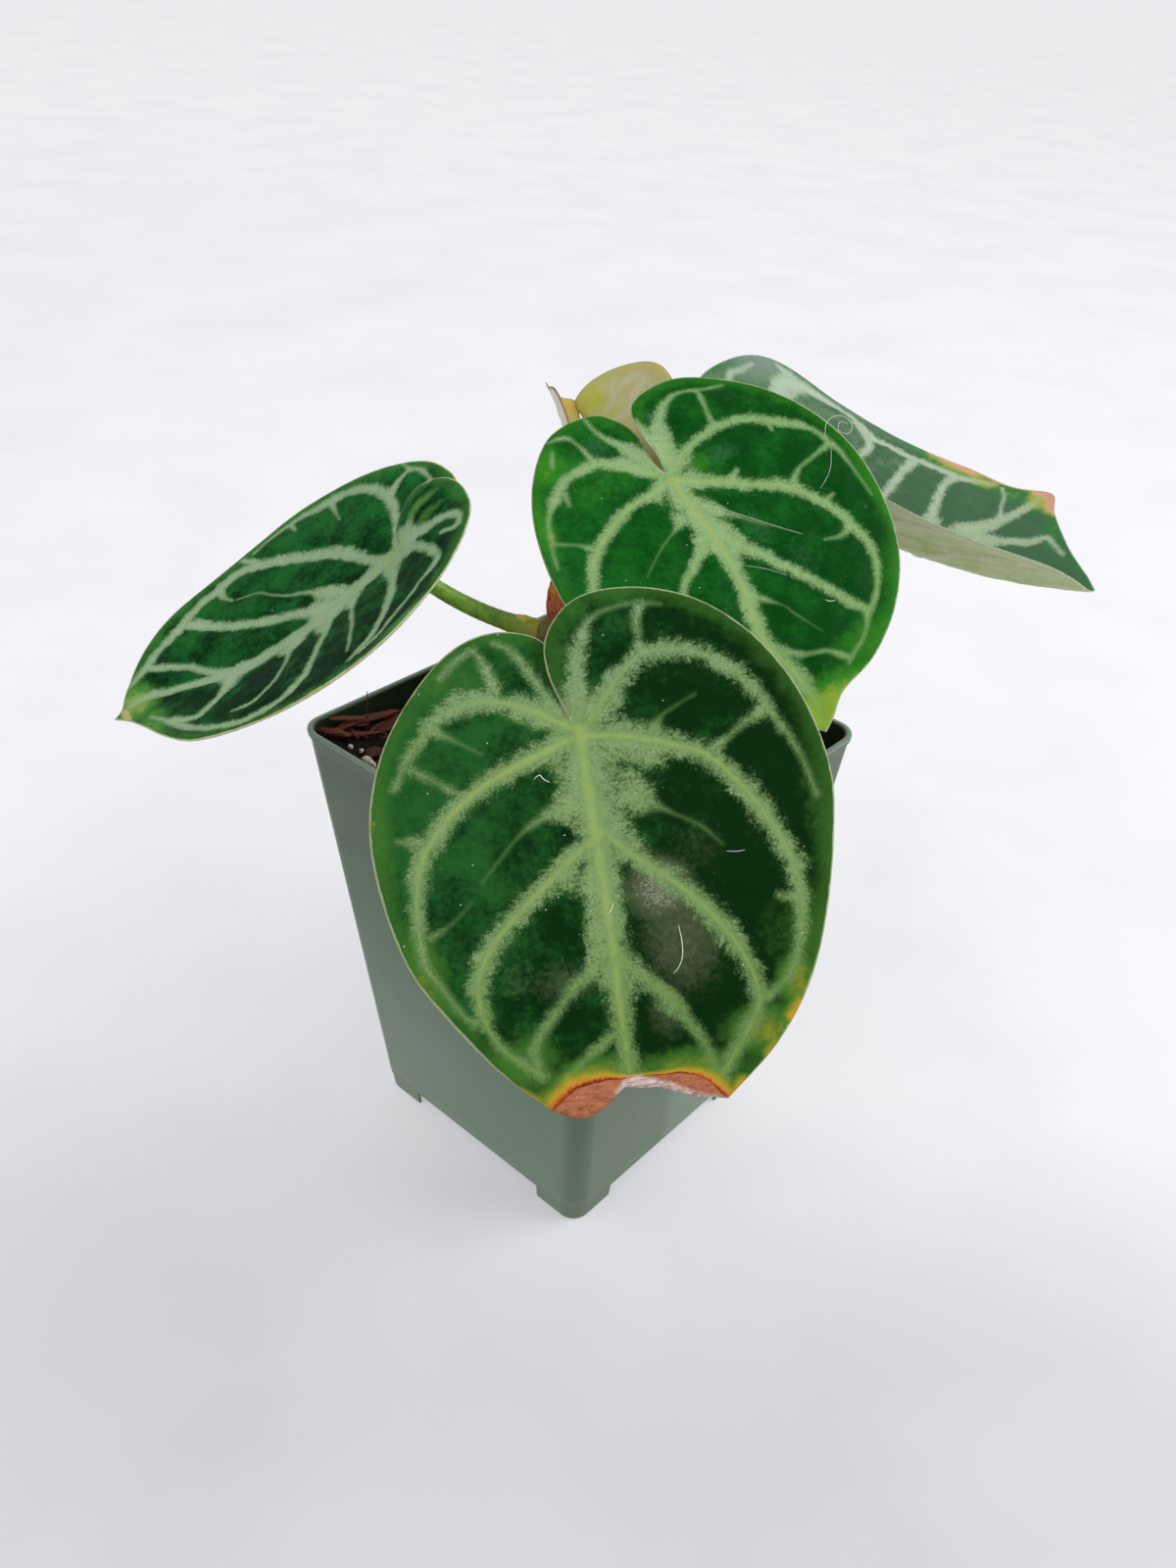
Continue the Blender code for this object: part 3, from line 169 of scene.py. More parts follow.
# Each vein: how yellow its middle is at its root and at its end, and its route on the flat leaf, with half
# the width of its pale band at each place. The first of each leaf is its midrib.
VEINS = {
    "a": [
        (1.0, 0.7, [(0, 1, 3), (-0.1, -12, 3.6), (-0.2, -24, 3.6), (-0.5, -38, 3.3), (-1, -50, 2.8),
            (-1.4, -60, 2.1), (-1.7, -68.3, 1.8)]),
        (0.4, 0.0, [(0.3, 2.5, 2.2), (0.9, 9, 1.6), (2, 15, 1.9), (3.7, 19.5, 1.5), (6, 23, 0.6),
            (10, 24.8, 0.3), (15, 25.2, 0.3), (21, 24.2, 0.0)]),
        (0.7, 0.0, [(1.3, 0.8, 2), (6, 6, 2.0), (10, 10.3, 1.6), (15, 13.8, 1.8), (20, 14.2, 1.9),
            (25, 12.9, 1.7), (30, 9.8, 1.8), (34, 5.5, 1.8), (37, 1, 1.4), (38.5, -3, 1.2), (41, -8, 0.7),
            (43, -14, 0.4), (44.2, -21, 0.4)]),
        (0.0, 0.0, [(15, 14.5, 1.2), (15.3, 18, 0.7), (15.5, 21.5, 0.8), (16.6, 24.3, 1.3)]),
        (0.9, 0.35, [(1.7, -0.8, 2), (9.6, -2.6, 2.2), (17, -5.5, 2.1), (24, -9, 1.9), (29, -15, 2.1),
            (33, -22, 2.2), (36, -29, 2.1), (37.5, -36, 1.9), (37, -43, 1.5), (35, -50, 1.2),
            (32.5, -54.5, 1.0), (27.5, -58, 1.0)]),
        (0.1, 0.0, [(25.5, -8.5, 1.3), (30, -6, 0.5), (33.5, -3.9, 0.8), (37, -2.3, 1.6)]),
        (0.5, 0.3, [(15, -3.5, 0.9), (16.5, -0.2, 0.0), (20, 1.6, -0.25), (24.4, 3.4, -0.3)]),
        (0.4, 0.3, [(8, -14.6, 1.2), (12, -17.2, 0.3), (16.7, -20.5, -0.2), (20.6, -23.2, -0.1),
            (24.1, -27.4, -0.35)]),
        (0.7, 0.6, [(0.5, -20, 2), (5, -25, 2.4), (10, -30, 2.2), (15, -34.6, 2.0), (20, -41, 2.0),
            (23.5, -47, 1.9), (25.5, -53, 1.6), (26, -58, 1.4), (24, -62, 1.2), (20, -67, 1.3),
            (16, -71.8, 1.8)]),
        (0.0, 0.0, [(36, -40, 1.2), (33.2, -39.2, 0.6)]),
        (0.3, 0.3, [(0, -45, 1.5), (4, -50, 1.5), (9, -55.2, 1.3), (12, -61, 1.1), (14.5, -67, 0.8),
            (15, -70.8, 0.8)]),
        (0.3, 0.1, [(-4, 4, 1.0), (-5, 8, 1.1), (-8.5, 15.5, 1.1), (-11, 20, 0.8), (-14.5, 22.4, 0.5)]),
        (0.9, 0.1, [(-1.6, 1.3, 2), (-8, 6, 2.6), (-15, 9.3, 2.1), (-22, 9.8, 2.1), (-28, 7.8, 1.9),
            (-32, 4, 1.4), (-35.5, 0, 1.1), (-38.5, -5.5, 0.6)]),
        (0.0, 0.0, [(-15.5, 12, 1.3), (-16.8, 17, 1.1), (-18.7, 21, 0.9), (-21.5, 20.4, 0.7),
            (-26.5, 16.4, 0.7)]),
        (0.3, 0.2, [(-28.5, 4.8, 1.2), (-25, 2.2, 0.1), (-20, -1.5, -0.3)]),
        (0.0, 0.0, [(-35.5, -1.6, 1.0), (-31, -4.8, 0.6), (-27, -7.8, 0.7), (-24.5, -10, 1.0)]),
        (1.0, 0.4, [(-2, -0.9, 2), (-8, -3, 2.4), (-14, -5, 2.3), (-20, -7.5, 2.0), (-26, -11, 2.1),
            (-31, -15.5, 2.3), (-35, -20.5, 2.2), (-37, -27, 1.7), (-37.8, -34, 1.3), (-37.5, -41, 1.0),
            (-35, -46, 0.6), (-32, -51.5, 0.6), (-29.5, -54, 0.9)]),
        (0.0, 0.0, [(-35, -17, 1.4), (-39.5, -16, 0.2)]),
        (0.2, 0.3, [(-4, -15, 2.0), (-9, -16, 1.1), (-12.5, -17.4, 0.4), (-16, -19.6, -0.1),
            (-24, -27, -0.3)]),
        (0.2, 0.2, [(-26.5, -30.5, -0.4), (-31, -33.8, -0.1), (-35.8, -36, 0.7)]),
        (0.8, 0.5, [(-2.1, -22.7, 2), (-7, -26, 2.2), (-13, -30.5, 2.1), (-19, -35, 1.9),
            (-24, -39.5, 2.2), (-27.5, -45, 2.2), (-28.3, -50, 1.9), (-27.5, -55, 1.2), (-25, -60, 0.9),
            (-21.5, -63.5, 1.0), (-18.5, -66, 1.4)]),
        (0.3, 0.3, [(-2, -45, 1.6), (-8, -49, 1.2), (-13, -53.5, 1.0), (-17, -57.5, 1.1),
            (-19.3, -61, 1.1), (-19, -64.5, 1.2)]),
        (0.4, 0.3, [(-2, -60, 1.2), (-6, -62, 1.1), (-10, -64.5, 0.8), (-13, -67, 0.9)]),
    ],
    "b": [
        (1.0, 0.6, [(0.5, 0, 3), (0.6, -8, 2.8), (1.2, -16, 3.3), (1.3, -24, 3.0), (0.9, -31, 2.0),
            (0.3, -38, 2.4), (-1.3, -44, 2.5), (-2.2, -50, 2.2), (-1.3, -56, 1.9), (0.6, -62, 2.0),
            (1.2, -68, 1.2), (1.3, -74, 0.4)]),
        (0.5, 0.2, [(2, 3, 3), (4, 8, 2.6), (5.6, 13, 2.0), (8, 18, 1.6), (11.5, 21, 1.0), (15, 22.5, 0.6),
            (19, 22.1, 0.5), (23, 20.7, 0.5), (28, 19.7, 0.2)]),
        (0.0, 0.0, [(0.6, 9, 1.2), (1.2, 14, 0.8), (1.6, 19, 0.5)]),
        (0.2, 0.2, [(18.8, 9, 0.8), (19.3, 13, 0.4), (20.3, 17, 0.6), (21.2, 20.8, 0.5)]),
        (0.5, 0.4, [(1.2, 1.2, 2.6), (6, 4, 1.9), (11, 6, 1.3), (16, 7.3, 1.5), (21, 7.8, 1.5),
            (26, 7, 1.4), (31, 4.3, 1.6), (35, 1, 1.4), (38.5, -1.8, 1.2), (41, -5.5, 0.7), (42, -9, 1.0),
            (43, -13, 0.7), (43.4, -20, 0.2), (43.3, -28, 0.1)]),
        (0.2, 0.1, [(31.6, 3, 0.8), (31, 0, 0.3)]),
        (0.8, 0.5, [(0.8, -0.8, 2.8), (5, -4, 2.5), (10, -7, 2.0), (15, -10.5, 1.8), (20, -13.5, 1.7),
            (25, -16.5, 1.8), (29, -22, 1.6), (32, -27, 1.5), (33.7, -33, 1.4), (34.8, -39, 1.3),
            (33.8, -45, 1.1), (31, -50, 0.7), (27.5, -54, 0.7), (24.6, -55.5, 1.0)]),
        (0.0, 0.0, [(14, -8.5, 1.5), (16.6, -6.4, 0.5)]),
        (0.1, 0.1, [(31, -25, 1.0), (34.4, -23.8, 0.3)]),
        (0.1, 0.1, [(32.6, -34, 1.2), (29, -35.2, 0.4), (25, -34.4, 0.1)]),
        (0.3, 0.3, [(26.5, -16.8, 1.3), (31, -13.5, 0.4), (36, -12, 0.4), (41.8, -10.3, 0.9)]),
        (0.4, 0.2, [(1.5, -19, 3), (5, -25, 2.3), (8, -29, 1.9), (11, -34, 1.6), (14, -38, 1.5),
            (17, -43, 1.4), (20, -48, 1.4), (22.5, -52, 1.4), (24.5, -55, 1.2), (23, -58, 0.5),
            (20, -61, 0.3), (16.5, -63, 0.4), (13.5, -65, 0.3)]),
        (0.1, 0.2, [(0.5, -39, 2), (3.5, -42, 0.6), (6.4, -45, -0.2), (8, -48.5, -0.1),
            (11.6, -55.2, -0.35)]),
        (0.3, 0.2, [(0, -55, 1.5), (5, -58.5, 0.5), (10, -60, 0.4), (12.5, -62, 0.7), (14.5, -64, 0.6)]),
        (0.5, 0.1, [(-0.5, 4, 2.5), (-3, 11, 1.7), (-5.5, 16, 1.2), (-7.5, 19.5, 0.9), (-8.7, 23.5, 0.5),
            (-9, 27.5, 0.3)]),
        (0.7, 0.3, [(-1, 2, 2.6), (-5, 6.5, 2.1), (-9, 9.8, 1.8), (-14, 12, 1.9), (-19, 11.7, 1.7),
            (-24, 10.3, 1.3), (-27, 7.5, 1.6), (-30, 5, 1.5), (-32, 3, 0.7), (-34.5, -1, 0.5),
            (-35.3, -4, 0.8), (-37, -8, 0.4), (-38.3, -13, 0.2)]),
        (0.2, 0.1, [(-26.3, 6, 1.0), (-26.8, 2.3, 0.2)]),
        (0.0, 0.1, [(-14, 13.5, 1.2), (-15.2, 20, 0.3), (-17, 23.5, 0.8), (-21.5, 24, 0.3)]),
        (0.5, 0.5, [(-22, 20.5, 0.2), (-23.5, 18, 0.5), (-24.6, 15.5, 0.3)]),
        (0.8, 0.5, [(-0.5, -1, 2.6), (-5, -2.8, 1.6), (-10, -3.6, 1.4), (-15, -5, 1.5), (-20, -7.8, 1.6),
            (-25, -11, 1.6), (-29, -14.5, 1.7), (-32, -19, 1.6), (-33.5, -24, 1.4), (-33.8, -33, 1.2),
            (-30, -45, 1.0)]),
        (0.3, 0.3, [(-28, -11.5, 1.0), (-31, -9, 0.2), (-35.5, -6.4, 0.3)]),
        (0.5, 0.4, [(-3, -13, 1.2), (-7, -15.5, 0.1), (-11, -17.8, -0.1), (-15, -20.5, -0.15),
            (-20, -24.5, -0.3)]),
        (0.0, 0.0, [(2.5, -12, 1.8), (6, -15.5, 0.9), (9, -18.5, 0.4), (13, -23, 0.0), (17, -27, -0.3),
            (20.5, -30.5, -0.5)]),
        (0.5, 0.3, [(0.5, -19, 3), (-4, -23.5, 1.5), (-8, -26.5, 1.3), (-12, -29.5, 1.1),
            (-14.5, -32.5, 0.9), (-20, -40, 0.9), (-23, -50, 0.9), (-18, -60, 0.8)]),
        (0.3, 0.2, [(-1, -46, 1.2), (-8, -53, 0.9), (-12, -62, 0.8)]),
    ],
    "c": [
        (0.5, 0.3, [(0.5, 0, 2.6), (2, -8, 2.9), (3, -16, 4.3), (3.5, -22, 4.8), (4.5, -28, 3.4),
            (5.5, -35, 3.0), (5.5, -42, 3.3), (4.5, -48, 3.8), (1.5, -54, 2.4), (-1, -60, 1.8),
            (-3.2, -66, 1.6), (-4.6, -72, 1.4), (-3, -76, 0.8)]),
        (0.9, 0.2, [(0, 0, 1.5), (1.8, -15, 1), (2.6, -31.6, 1), (2.8, -48, 1)]),
        (0.3, 0.1, [(-0.9, 1.1, 1.6), (-6, 3.6, 1.3), (-12, 5.4, 1.3), (-18, 6.6, 1.6), (-24, 6.4, 1.7),
            (-29, 4.8, 1.7), (-34, 1.5, 1.5), (-37.3, -2.5, 1.6), (-39.3, -7, 1.9), (-42, -13, 1.3),
            (-43.5, -19, 1.0), (-43.8, -27, 0.5), (-42, -33, 0.5)]),
        (0.0, 0.1, [(-22, 8, 1.8), (-24.2, 12, 0.8), (-24.2, 15.5, 0.7), (-20.5, 17.9, 0.7),
            (-15, 18.2, 0.6), (-11, 17.6, 0.8), (-6, 17.4, 1.0), (0, 18.5, 0.6)]),
        (0.0, 0.0, [(-24.2, 15.5, 0.8), (-29.5, 14.8, 0.2)]),
        (0.1, 0.1, [(-39, -7, 1.8), (-34, -7.3, 0.5), (-29, -7.3, 0.1)]),
        (0.2, 0.2, [(-42.5, -20, 0.9), (-38.5, -19.5, 0.2)]),
        (0.5, 0.1, [(0.1, -2.4, 1.9), (-5, -6, 1.5), (-10, -8.2, 2.0), (-15, -10.7, 2.1), (-20, -15, 2.0),
            (-25, -20.5, 2.1), (-30, -26, 2.1), (-34.5, -32.5, 2.1), (-37, -38, 2.0), (-36, -43, 2.0),
            (-34, -47, 1.8), (-33, -51, 1.6), (-30, -55, 1.5), (-27, -58, 1.7), (-24, -62, 1.7),
            (-21, -66, 1.1), (-17, -69, 1.4), (-14, -72, 1.1), (-10, -76, 0.4)]),
        (0.1, 0.0, [(-37.5, -33.5, 1.2), (-41.8, -36.6, 1.0)]),
        (0.3, 0.4, [(-35, -45.5, 1.8), (-30, -45, 0.7), (-26.6, -43.2, 0.3)]),
        (0.0, 0.0, [(-1, -16, 2.2), (-6, -20.5, 1.2), (-10, -24, 0.6), (-16, -31, 0.2), (-22, -35.5, 0.15),
            (-26, -42, 0.1)]),
        (0.2, 0.1, [(1, -22, 3.5), (-3, -26, 2.2), (-6, -30, 1.6), (-9, -35, 1.6), (-13, -41, 1.6),
            (-17, -46.5, 1.6), (-21, -51, 1.7), (-26, -55.8, 2.1)]),
        (0.2, 0.1, [(1, -51, 2), (-4, -55.5, 1.1), (-8, -58.5, 1.2), (-11, -62, 1.1), (-13.5, -66, 1.2),
            (-15.5, -69, 1.2)]),
        (0.9, 0.1, [(1, 1.5, 1.6), (5, 4, 2.4), (10, 6.5, 2.6), (14, 9.5, 2.0), (16.3, 14, 1.3),
            (18, 18, 1.3), (20.5, 19.5, 0.9), (23.5, 17.5, 0.8), (21.5, 14, 0.7)]),
        (0.4, 0.0, [(3, 0.5, 1.6), (8, 2.3, 1.5), (14, 5.5, 1.2), (19, 7.8, 1.2), (24, 9.5, 1.2),
            (29, 10, 1.1), (31.5, 7, 1.1), (33, 3, 0.8), (35.5, -1, 0.8), (38.5, -6, 0.7), (41, -10, 0.7),
            (43, -16, 0.8)]),
        (0.7, 0.1, [(1.3, -1.4, 2.2), (7, -1.5, 1.8), (13, -2.2, 1.6), (19, -3.2, 1.5), (25, -4.5, 1.4),
            (31, -7, 1.3), (36, -10, 1.2), (40, -13.5, 1.1), (42.5, -19, 0.8)]),
        (0.2, 0.0, [(3, -13.5, 2.0), (8, -13.8, 0.8), (14, -14.6, 0.6), (20, -15.3, 0.6), (27, -16, 0.5),
            (33, -17.5, 0.4), (38, -19, 0.2)]),
        (0.2, 0.1, [(5, -20, 3), (12, -22, 1.1), (18, -24, 1.0), (24, -26.5, 1.0), (30, -29, 1.2),
            (35, -32, 1.5), (38.5, -37, 1.4), (39, -42, 1.4), (37.5, -48, 1.2), (34, -53, 1.2),
            (29, -58.5, 1.1), (23, -62.5, 1.1), (17, -65.5, 1.2), (12, -68, 0.7), (7, -71, 0.4)]),
        (0.2, 0.0, [(8, -31.5, 2.5), (14, -33.5, 0.8), (20, -35.5, 0.5), (25, -38, 0.6), (29, -42, 0.7),
            (30.3, -46, 0.8), (29, -50, 0.5)]),
        (0.1, 0.1, [(4, -49, 3.4), (10, -50.5, 1.9), (15, -52.5, 1.4), (19, -56, 1.4), (21.5, -59, 1.5),
            (19, -62.5, 1.5), (15, -66, 1.4)]),
    ],
    "d": [
        (0.3, 0.2, [(0, 0, 3), (0, -32, 2.6), (0, -64, 2), (0, -92, 0.8)]),
        (0.1, 0.0, [(1.6, 1.6, 2.5), (15, 9, 2.4), (27, 12, 2.6), (37, 12, 2.8), (43, 6, 2.6),
            (46.5, -3, 2.4), (48.2, -10, 1.8), (46, -16, 2.0), (41.5, -21, 2.2), (42, -27, 2.1),
            (41.5, -33, 2.1), (41.5, -40, 2.0), (41, -46, 2.2), (40.2, -52, 2.3), (41, -58, 1.7),
            (42, -64, 0.8)]),
        (0.1, 0.0, [(2, 2, 2), (7, 12, 1.6), (13, 22, 1.4), (22, 26.5, 1.2), (28, 24.6, 1.0),
            (34, 23, 0.7)]),
        (0.0, 0.0, [(43, 12, 1.6), (43.5, 16, 0.8)]),
        (0.1, 0.0, [(45, -14, 1.5), (38, -20.5, 1.8), (31, -20.5, 1.4), (20, -17, 1.2), (8, -10, 1.5)]),
        (0.1, 0.0, [(1, -22, 2), (10, -28, 1.5), (18, -31.4, 1.4), (26, -33, 1.4), (33, -34.5, 1.6),
            (41, -37, 1.9)]),
        (0.1, 0.0, [(1, -40, 2), (9, -45, 1.9), (16, -46.6, 1.8), (25, -47, 1.5), (33, -48, 1.5),
            (39.6, -50.8, 2.0)]),
        (0.1, 0.1, [(1, -50, 2.4), (9, -54, 2.7), (15, -58.5, 2.6), (19, -63.5, 2.3), (24, -68.5, 1.8),
            (31, -74, 1.6), (37, -78, 1.4), (40, -79, 1.2)]),
        (0.3, 0.2, [(24, -67, 1.2), (29, -66.6, 0.5), (34, -67, 0.5), (40, -66, 0.6)]),
        (0.1, 0.0, [(13, -62, 2.2), (14.6, -70, 1.6), (16.2, -77, 1.4), (18.5, -81.5, 1.0),
            (13, -86, 0.8)]),
        (0.1, 0.0, [(-1.5, 1.6, 2), (-12, 12, 1.8), (-24, 15, 1.6), (-33, 2, 1.6), (-36, -19, 1.4),
            (-34, -45, 1.4), (-28, -64, 1.2), (-18, -80, 1.0)]),
        (0.1, 0.0, [(-1, -20, 1.8), (-12, -29, 1.4), (-24, -36, 1.2), (-32, -49, 1.0)]),
        (0.1, 0.0, [(-1, -45, 1.8), (-11, -53.5, 1.4), (-20, -66, 1.2), (-21.5, -75, 1.0)]),
    ],
    "e": [
        (0.9, 0.4, [(0, 0, 0.8), (0, -20, 0.6), (0, -41, 0.3)]),
        (0.0, 0.0, [(2, 0, 0.6), (8.5, -1, 0.4), (11, 2.2, 0.5), (14.5, 4, 0.4), (19, 3, 0.3),
            (22, -4, 0.2)]),
        (0.0, 0.0, [(4, 0, 0.5), (9.5, 1.5, 0.7), (11.2, 5.6, 0.8), (12.6, 7.8, 0.2)]),
        (0.0, 0.0, [(4, -4, 0.6), (13, -5, 0.9), (16.5, -1.5, 1.2), (20.5, 0.3, 0.4)]),
        (1.0, 0.8, [(2, 0.5, 0.9), (5, 0.2, 0.8), (6.2, 3, 0.5), (7.8, 6.4, 0.0)]),
        (0.5, 0.2, [(-1, 1, 0.6), (-7, 7, 0.3), (-12, 4, 0.3), (-14, -8, 0.2)]),
        (0.5, 0.2, [(-0.5, -8, 0.6), (-6, -13, 0.3), (-10, -23, 0.2)]),
    ],
}

# Where the silver spreads past its bands, in part painted sheen: each patch's middle, its reach across and
# along, and how many millimetres it moves the edge of the pale zone.
HAZE = {
    "a": [(0, 3, 6, 7, 3.0), (9, -8, 7, 8, 4.4), (8, 4, 5, 4, 2.0), (6, -17, 5.5, 6, 3.2),
        (-5, -11, 3, 7, 2.6), (-5, -31, 4, 3.5, 2.6), (-4.5, -42, 2.2, 7, 2.6), (3, -50, 3, 6, 0.8),
        (7, -56, 3, 4, 1.4), (11, 9, 7, 3, 1.0), (-23, 12.5, 6, 2, 0.9), (16.5, -3.5, 4, 2, 0.8),
        (2, -68, 12, 2, 0.6), (-9, 5, 4, 4, 1.0), (22, -60, 6, 6, 0.5), (20, -44, 4, 8, 0.5)],
    "b": [(-4, 8, 4, 6, 2.6), (3, 9, 3, 7, 2.2), (-5, -9, 3, 6, 1.7), (5, -13, 3, 5, 1.4),
        (5, -21, 3, 4, 1.5), (3, -28, 3, 3, 1.2), (-2, -18, 4, 6, 0.9), (7, 0, 4, 3, 1.2),
        (-8, 8, 5, 3, 0.8), (2, -64, 2.5, 5, 1.0)],
    "c": [(7, 3, 8, 4, 1.8), (5, -5, 6, 5, 1.8), (9, -16, 4, 8, 2.5), (10, -27, 5, 6, 2.8),
        (10, -38, 4, 6, 2.2), (-4, -20, 4, 4, 1.6), (10, -46, 7, 4, 2.6), (6, 11, 3, 6, 1.2)],
    "d": [(35, 8, 7, 7, 2.6), (44, 10, 6, 6, 2.2), (36, 0, 4, 4, 0.8), (12, -56, 6, 8, 2.0),
        (4, -30, 4, 30, 1.5)],
    "e": [(20, 4, 8, 8, 1.6), (15, -8, 5, 7, 1.4), (-12, 5, 7, 9, 3.0)],
}

# Brighter green parts of the blade, which turn yellow past 1, and then greyed or bronzed ones, in part
# painted sheen, which are frosted past 1, in the same way.
GLOW = {
    "a": [(45, -25, 5, 20, 0.45), (38, -48, 7, 12, 0.5), (-43, -14, 4, 18, 0.6), (-39, -47, 6, 14, 0.95),
        (-25, 15, 9, 5, 0.5), (-9, -68.5, 11, 5, 1.15), (9, -69.5, 12, 4.5, 1.1), (-22, -63, 9, 6, 0.8),
        (26, -64, 9, 5, 1.1), (2, 18, 4, 7, 0.3), (32, -46, 5, 6, 0.4), (34, -56, 4.5, 6, 1.15),
        (0, 1, 4, 4, 1.1)],
    "b": [(46, -30, 4, 22, 0.6), (38, -50, 9, 10, 0.5), (5, -74, 22, 9, 1.45), (22, -62, 12, 6, 0.7),
        (9, 0, 4, 4, 0.7), (-26, 17, 7, 9, 0.85), (-37, 0, 5, 12, 0.8), (25, 22, 10, 5, 0.3),
        (-12, 4, 6, 5, 0.4), (-20, 8, 16, 14, 0.4)],
    "c": [(-45, -20, 4, 16, 0.5), (-42, -42, 5, 12, 0.4), (-3, -74, 9, 6, 1.2), (14, -70, 14, 4, 0.9),
        (9, -40, 4, 10, 0.35), (-33, -12, 8, 5, 0.3), (6.5, 12, 2.2, 8, 0.9), (12, 13, 2, 7, 0.6),
        (25, 17, 10, 5, 0.4), (45, 0, 3, 12, 0.8), (12, -7, 9, 4, 0.3)],
    "d": [(51, -36, 6, 8, 0.9), (46, -49, 6, 9, 1.2), (41, -60, 6, 8, 1.25), (37, -69, 5, 6, 1.0),
        (36, -77, 8, 5, 1.3), (47, -41, 5, 4, 1.1), (22, -83, 9, 4, 0.9), (18, -73, 5, 4, 0.4),
        (28, -58, 7, 5, 0.4)],
    "e": [(4, 6, 4.5, 7, 0.9), (6, -4, 4, 5, 0.5), (6.4, 3, 1.6, 4, 1.5), (-1, 2, 3, 4, 0.9)],
}
DULL_AND_SHEEN = {
    "a": [(13, -44, 9, 12, 0.75), (10.5, -34, 7.5, 7, 1.15), (19, -27, 7, 6, 0.4), (-11, -49, 8, 5, 0.55),
        (8, -58, 5, 6, 0.6), (10, -15, 7, 5, 0.3), (-20, -47, 5, 5, 0.4)],
    "b": [(16, -0.5, 6, 3.5, 0.55), (12, -24, 4, 8, 0.5), (18, -36, 4, 9, 0.4), (-11, 17, 4.5, 5, 0.55),
        (5, 17, 3, 6, 0.5), (-38, -13, 3, 8, 0.5), (-18, 18, 4, 5, 0.3)],
    "c": [(20, -41, 9, 6, 0.9), (-14, 12, 4, 5, 0.5), (24, 15, 8, 5, 0.6), (34, 2, 5, 8, 0.5),
        (-5, -38, 5, 9, 0.35)],
    "d": [(44, 24, 18, 12, 0.95), (52, -6, 7, 13, 0.5)],
    "e": [(17, 3, 7, 4, 0.8), (-13, 4, 6, 9, 1.0), (18, -6, 7, 3, 0.6)],
}

# How pale a leaf's green is between its veins: at its joint, and more per millimetre to the right and back.
# The value at the joint is the cells' own tone; the slope across the blade is painted light.
CELL_TONE_AND_LIGHT = {
    "a": (0.36, -0.014, 0.0065), "b": (0.4, -0.005, 0.002), "c": (0.42, -0.007, 0.001),
    "d": (0.4, 0.002, 0.012), "e": (0.5, 0.01, 0.0),
}

# Stretches of pale rolled margin: each patch's middle and reach, and how many millimetres wider it is there.
HEM = {
    "a": [(-45, -20, 6, 30, 0.18), (-36, -56, 10, 14, 0.2)],
    "b": [(42, 0, 12, 18, 0.1)],
    "c": [(47.5, -14, 6, 34, 0.6), (38, -50, 7, 12, 0.3)],
    "d": [(56, -20, 4, 20, 0.4)],
}

# Where tissue has died back: the line of the dead edge, how far its yellowing reaches in, how deep the torn
# pale strip beyond it is, and stretches of yellowed margin with how far each reaches in.
SCORCH = {
    "a": {
        "dead": [(-18.5, -73.4), (-16.4, -71.9), (-12.6, -69.7), (-7.4, -69.0), (-3.2, -69.3), (0, -69.4),
            (4.5, -69.7), (9.5, -70.2), (13.2, -72.0), (16, -75.8)],
        "reach": [(-22, 4.4), (-12, 4.2), (-6, 3.0), (-2, 1.0), (3, 1.0), (8, 1.7), (13, 2.4), (18, 4.0)],
        "torn": [(-5, 0), (-3.6, 1.5), (0, 2.6), (4, 1.7), (8, 1.3), (12, 1.0), (15.5, 0.2)],
        "margin": [([(16.6, -76), (20, -73.6)], 3.0), ([(20, -73.6), (25, -69.8)], 1.0),
            ([(25.8, -68.8), (27.4, -67)], 2.2), ([(27.8, -66.6), (31, -63.4)], 1.2),
            ([(31.8, -62.4), (33.6, -60.2)], 2.9), ([(34, -59.6), (37, -55)], 0.8),
            ([(-18.5, -73.2), (-23, -68.4)], 2.0), ([(-23, -68.4), (-30, -59.6)], 0.9),
            ([(-43.6, -11.6), (-44.2, -13.2)], 1.4)],
    },
    "c": {
        "margin": [([(-2, -77.4), (3.5, -76.6)], 2.2), ([(48.4, -15), (48.2, -20)], 1.5),
            ([(47.4, -26), (46.4, -31)], 1.7), ([(45.2, -36), (44.4, -39)], 1.4)],
    },
    "d": {
        "margin": [([(53.6, -46), (52, -50), (49.5, -55)], 8.5), ([(49.5, -55), (44.5, -64)], 2.4),
            ([(44.5, -64), (42.6, -70), (42.6, -77)], 2.2),
            ([(42.9, -78.5), (43, -81.6), (37, -82.5), (33, -82.9)], 6.0)],
    },
}

# Each stalk: the heading in degrees and the height at which its stub leaves the stem, how steeply the stub
# rises, how far the stalk runs on before it turns, how far under the leaf it turns in, and its radius at
# each end.
PETIOLES = {
    "a": {"aim": -50, "height": 139.0, "rise": 0.45, "runs_on": 26, "turns_in": 16, "radii": (2.5, 1.7)},
    "b": {"aim": 84, "height": 145.0, "rise": 0.55, "runs_on": 12, "turns_in": 14, "radii": (2.2, 1.6)},
    "c": {"aim": 214, "height": 147.6, "rise": 0.15, "runs_on": 16, "turns_in": 11, "radii": (2.4, 1.9)},
    "d": {"aim": 62, "height": 135.0, "rise": 0.35, "runs_on": 34, "turns_in": 20, "radii": (2.5, 1.7)},
    "e": {"aim": 138, "height": 140.0, "rise": 0.5, "runs_on": 20, "turns_in": 14, "radii": (1.8, 1.1)},
}
STUB_SWELL = 1.25
NUB_ALONG = 3.6
NUB_ABOVE = 1.7
NUB_SIZE = (2.9, 1.8, 1.6)

SCALE_FOOT = (-12.6, 6.6, 144.0)
SCALE_TOP = (-18.3, 6.6, 160.3)
SCALE_WIDTH = 8.4
SCALE_THICKNESS = 0.5
SCALE_CUP = 1.8

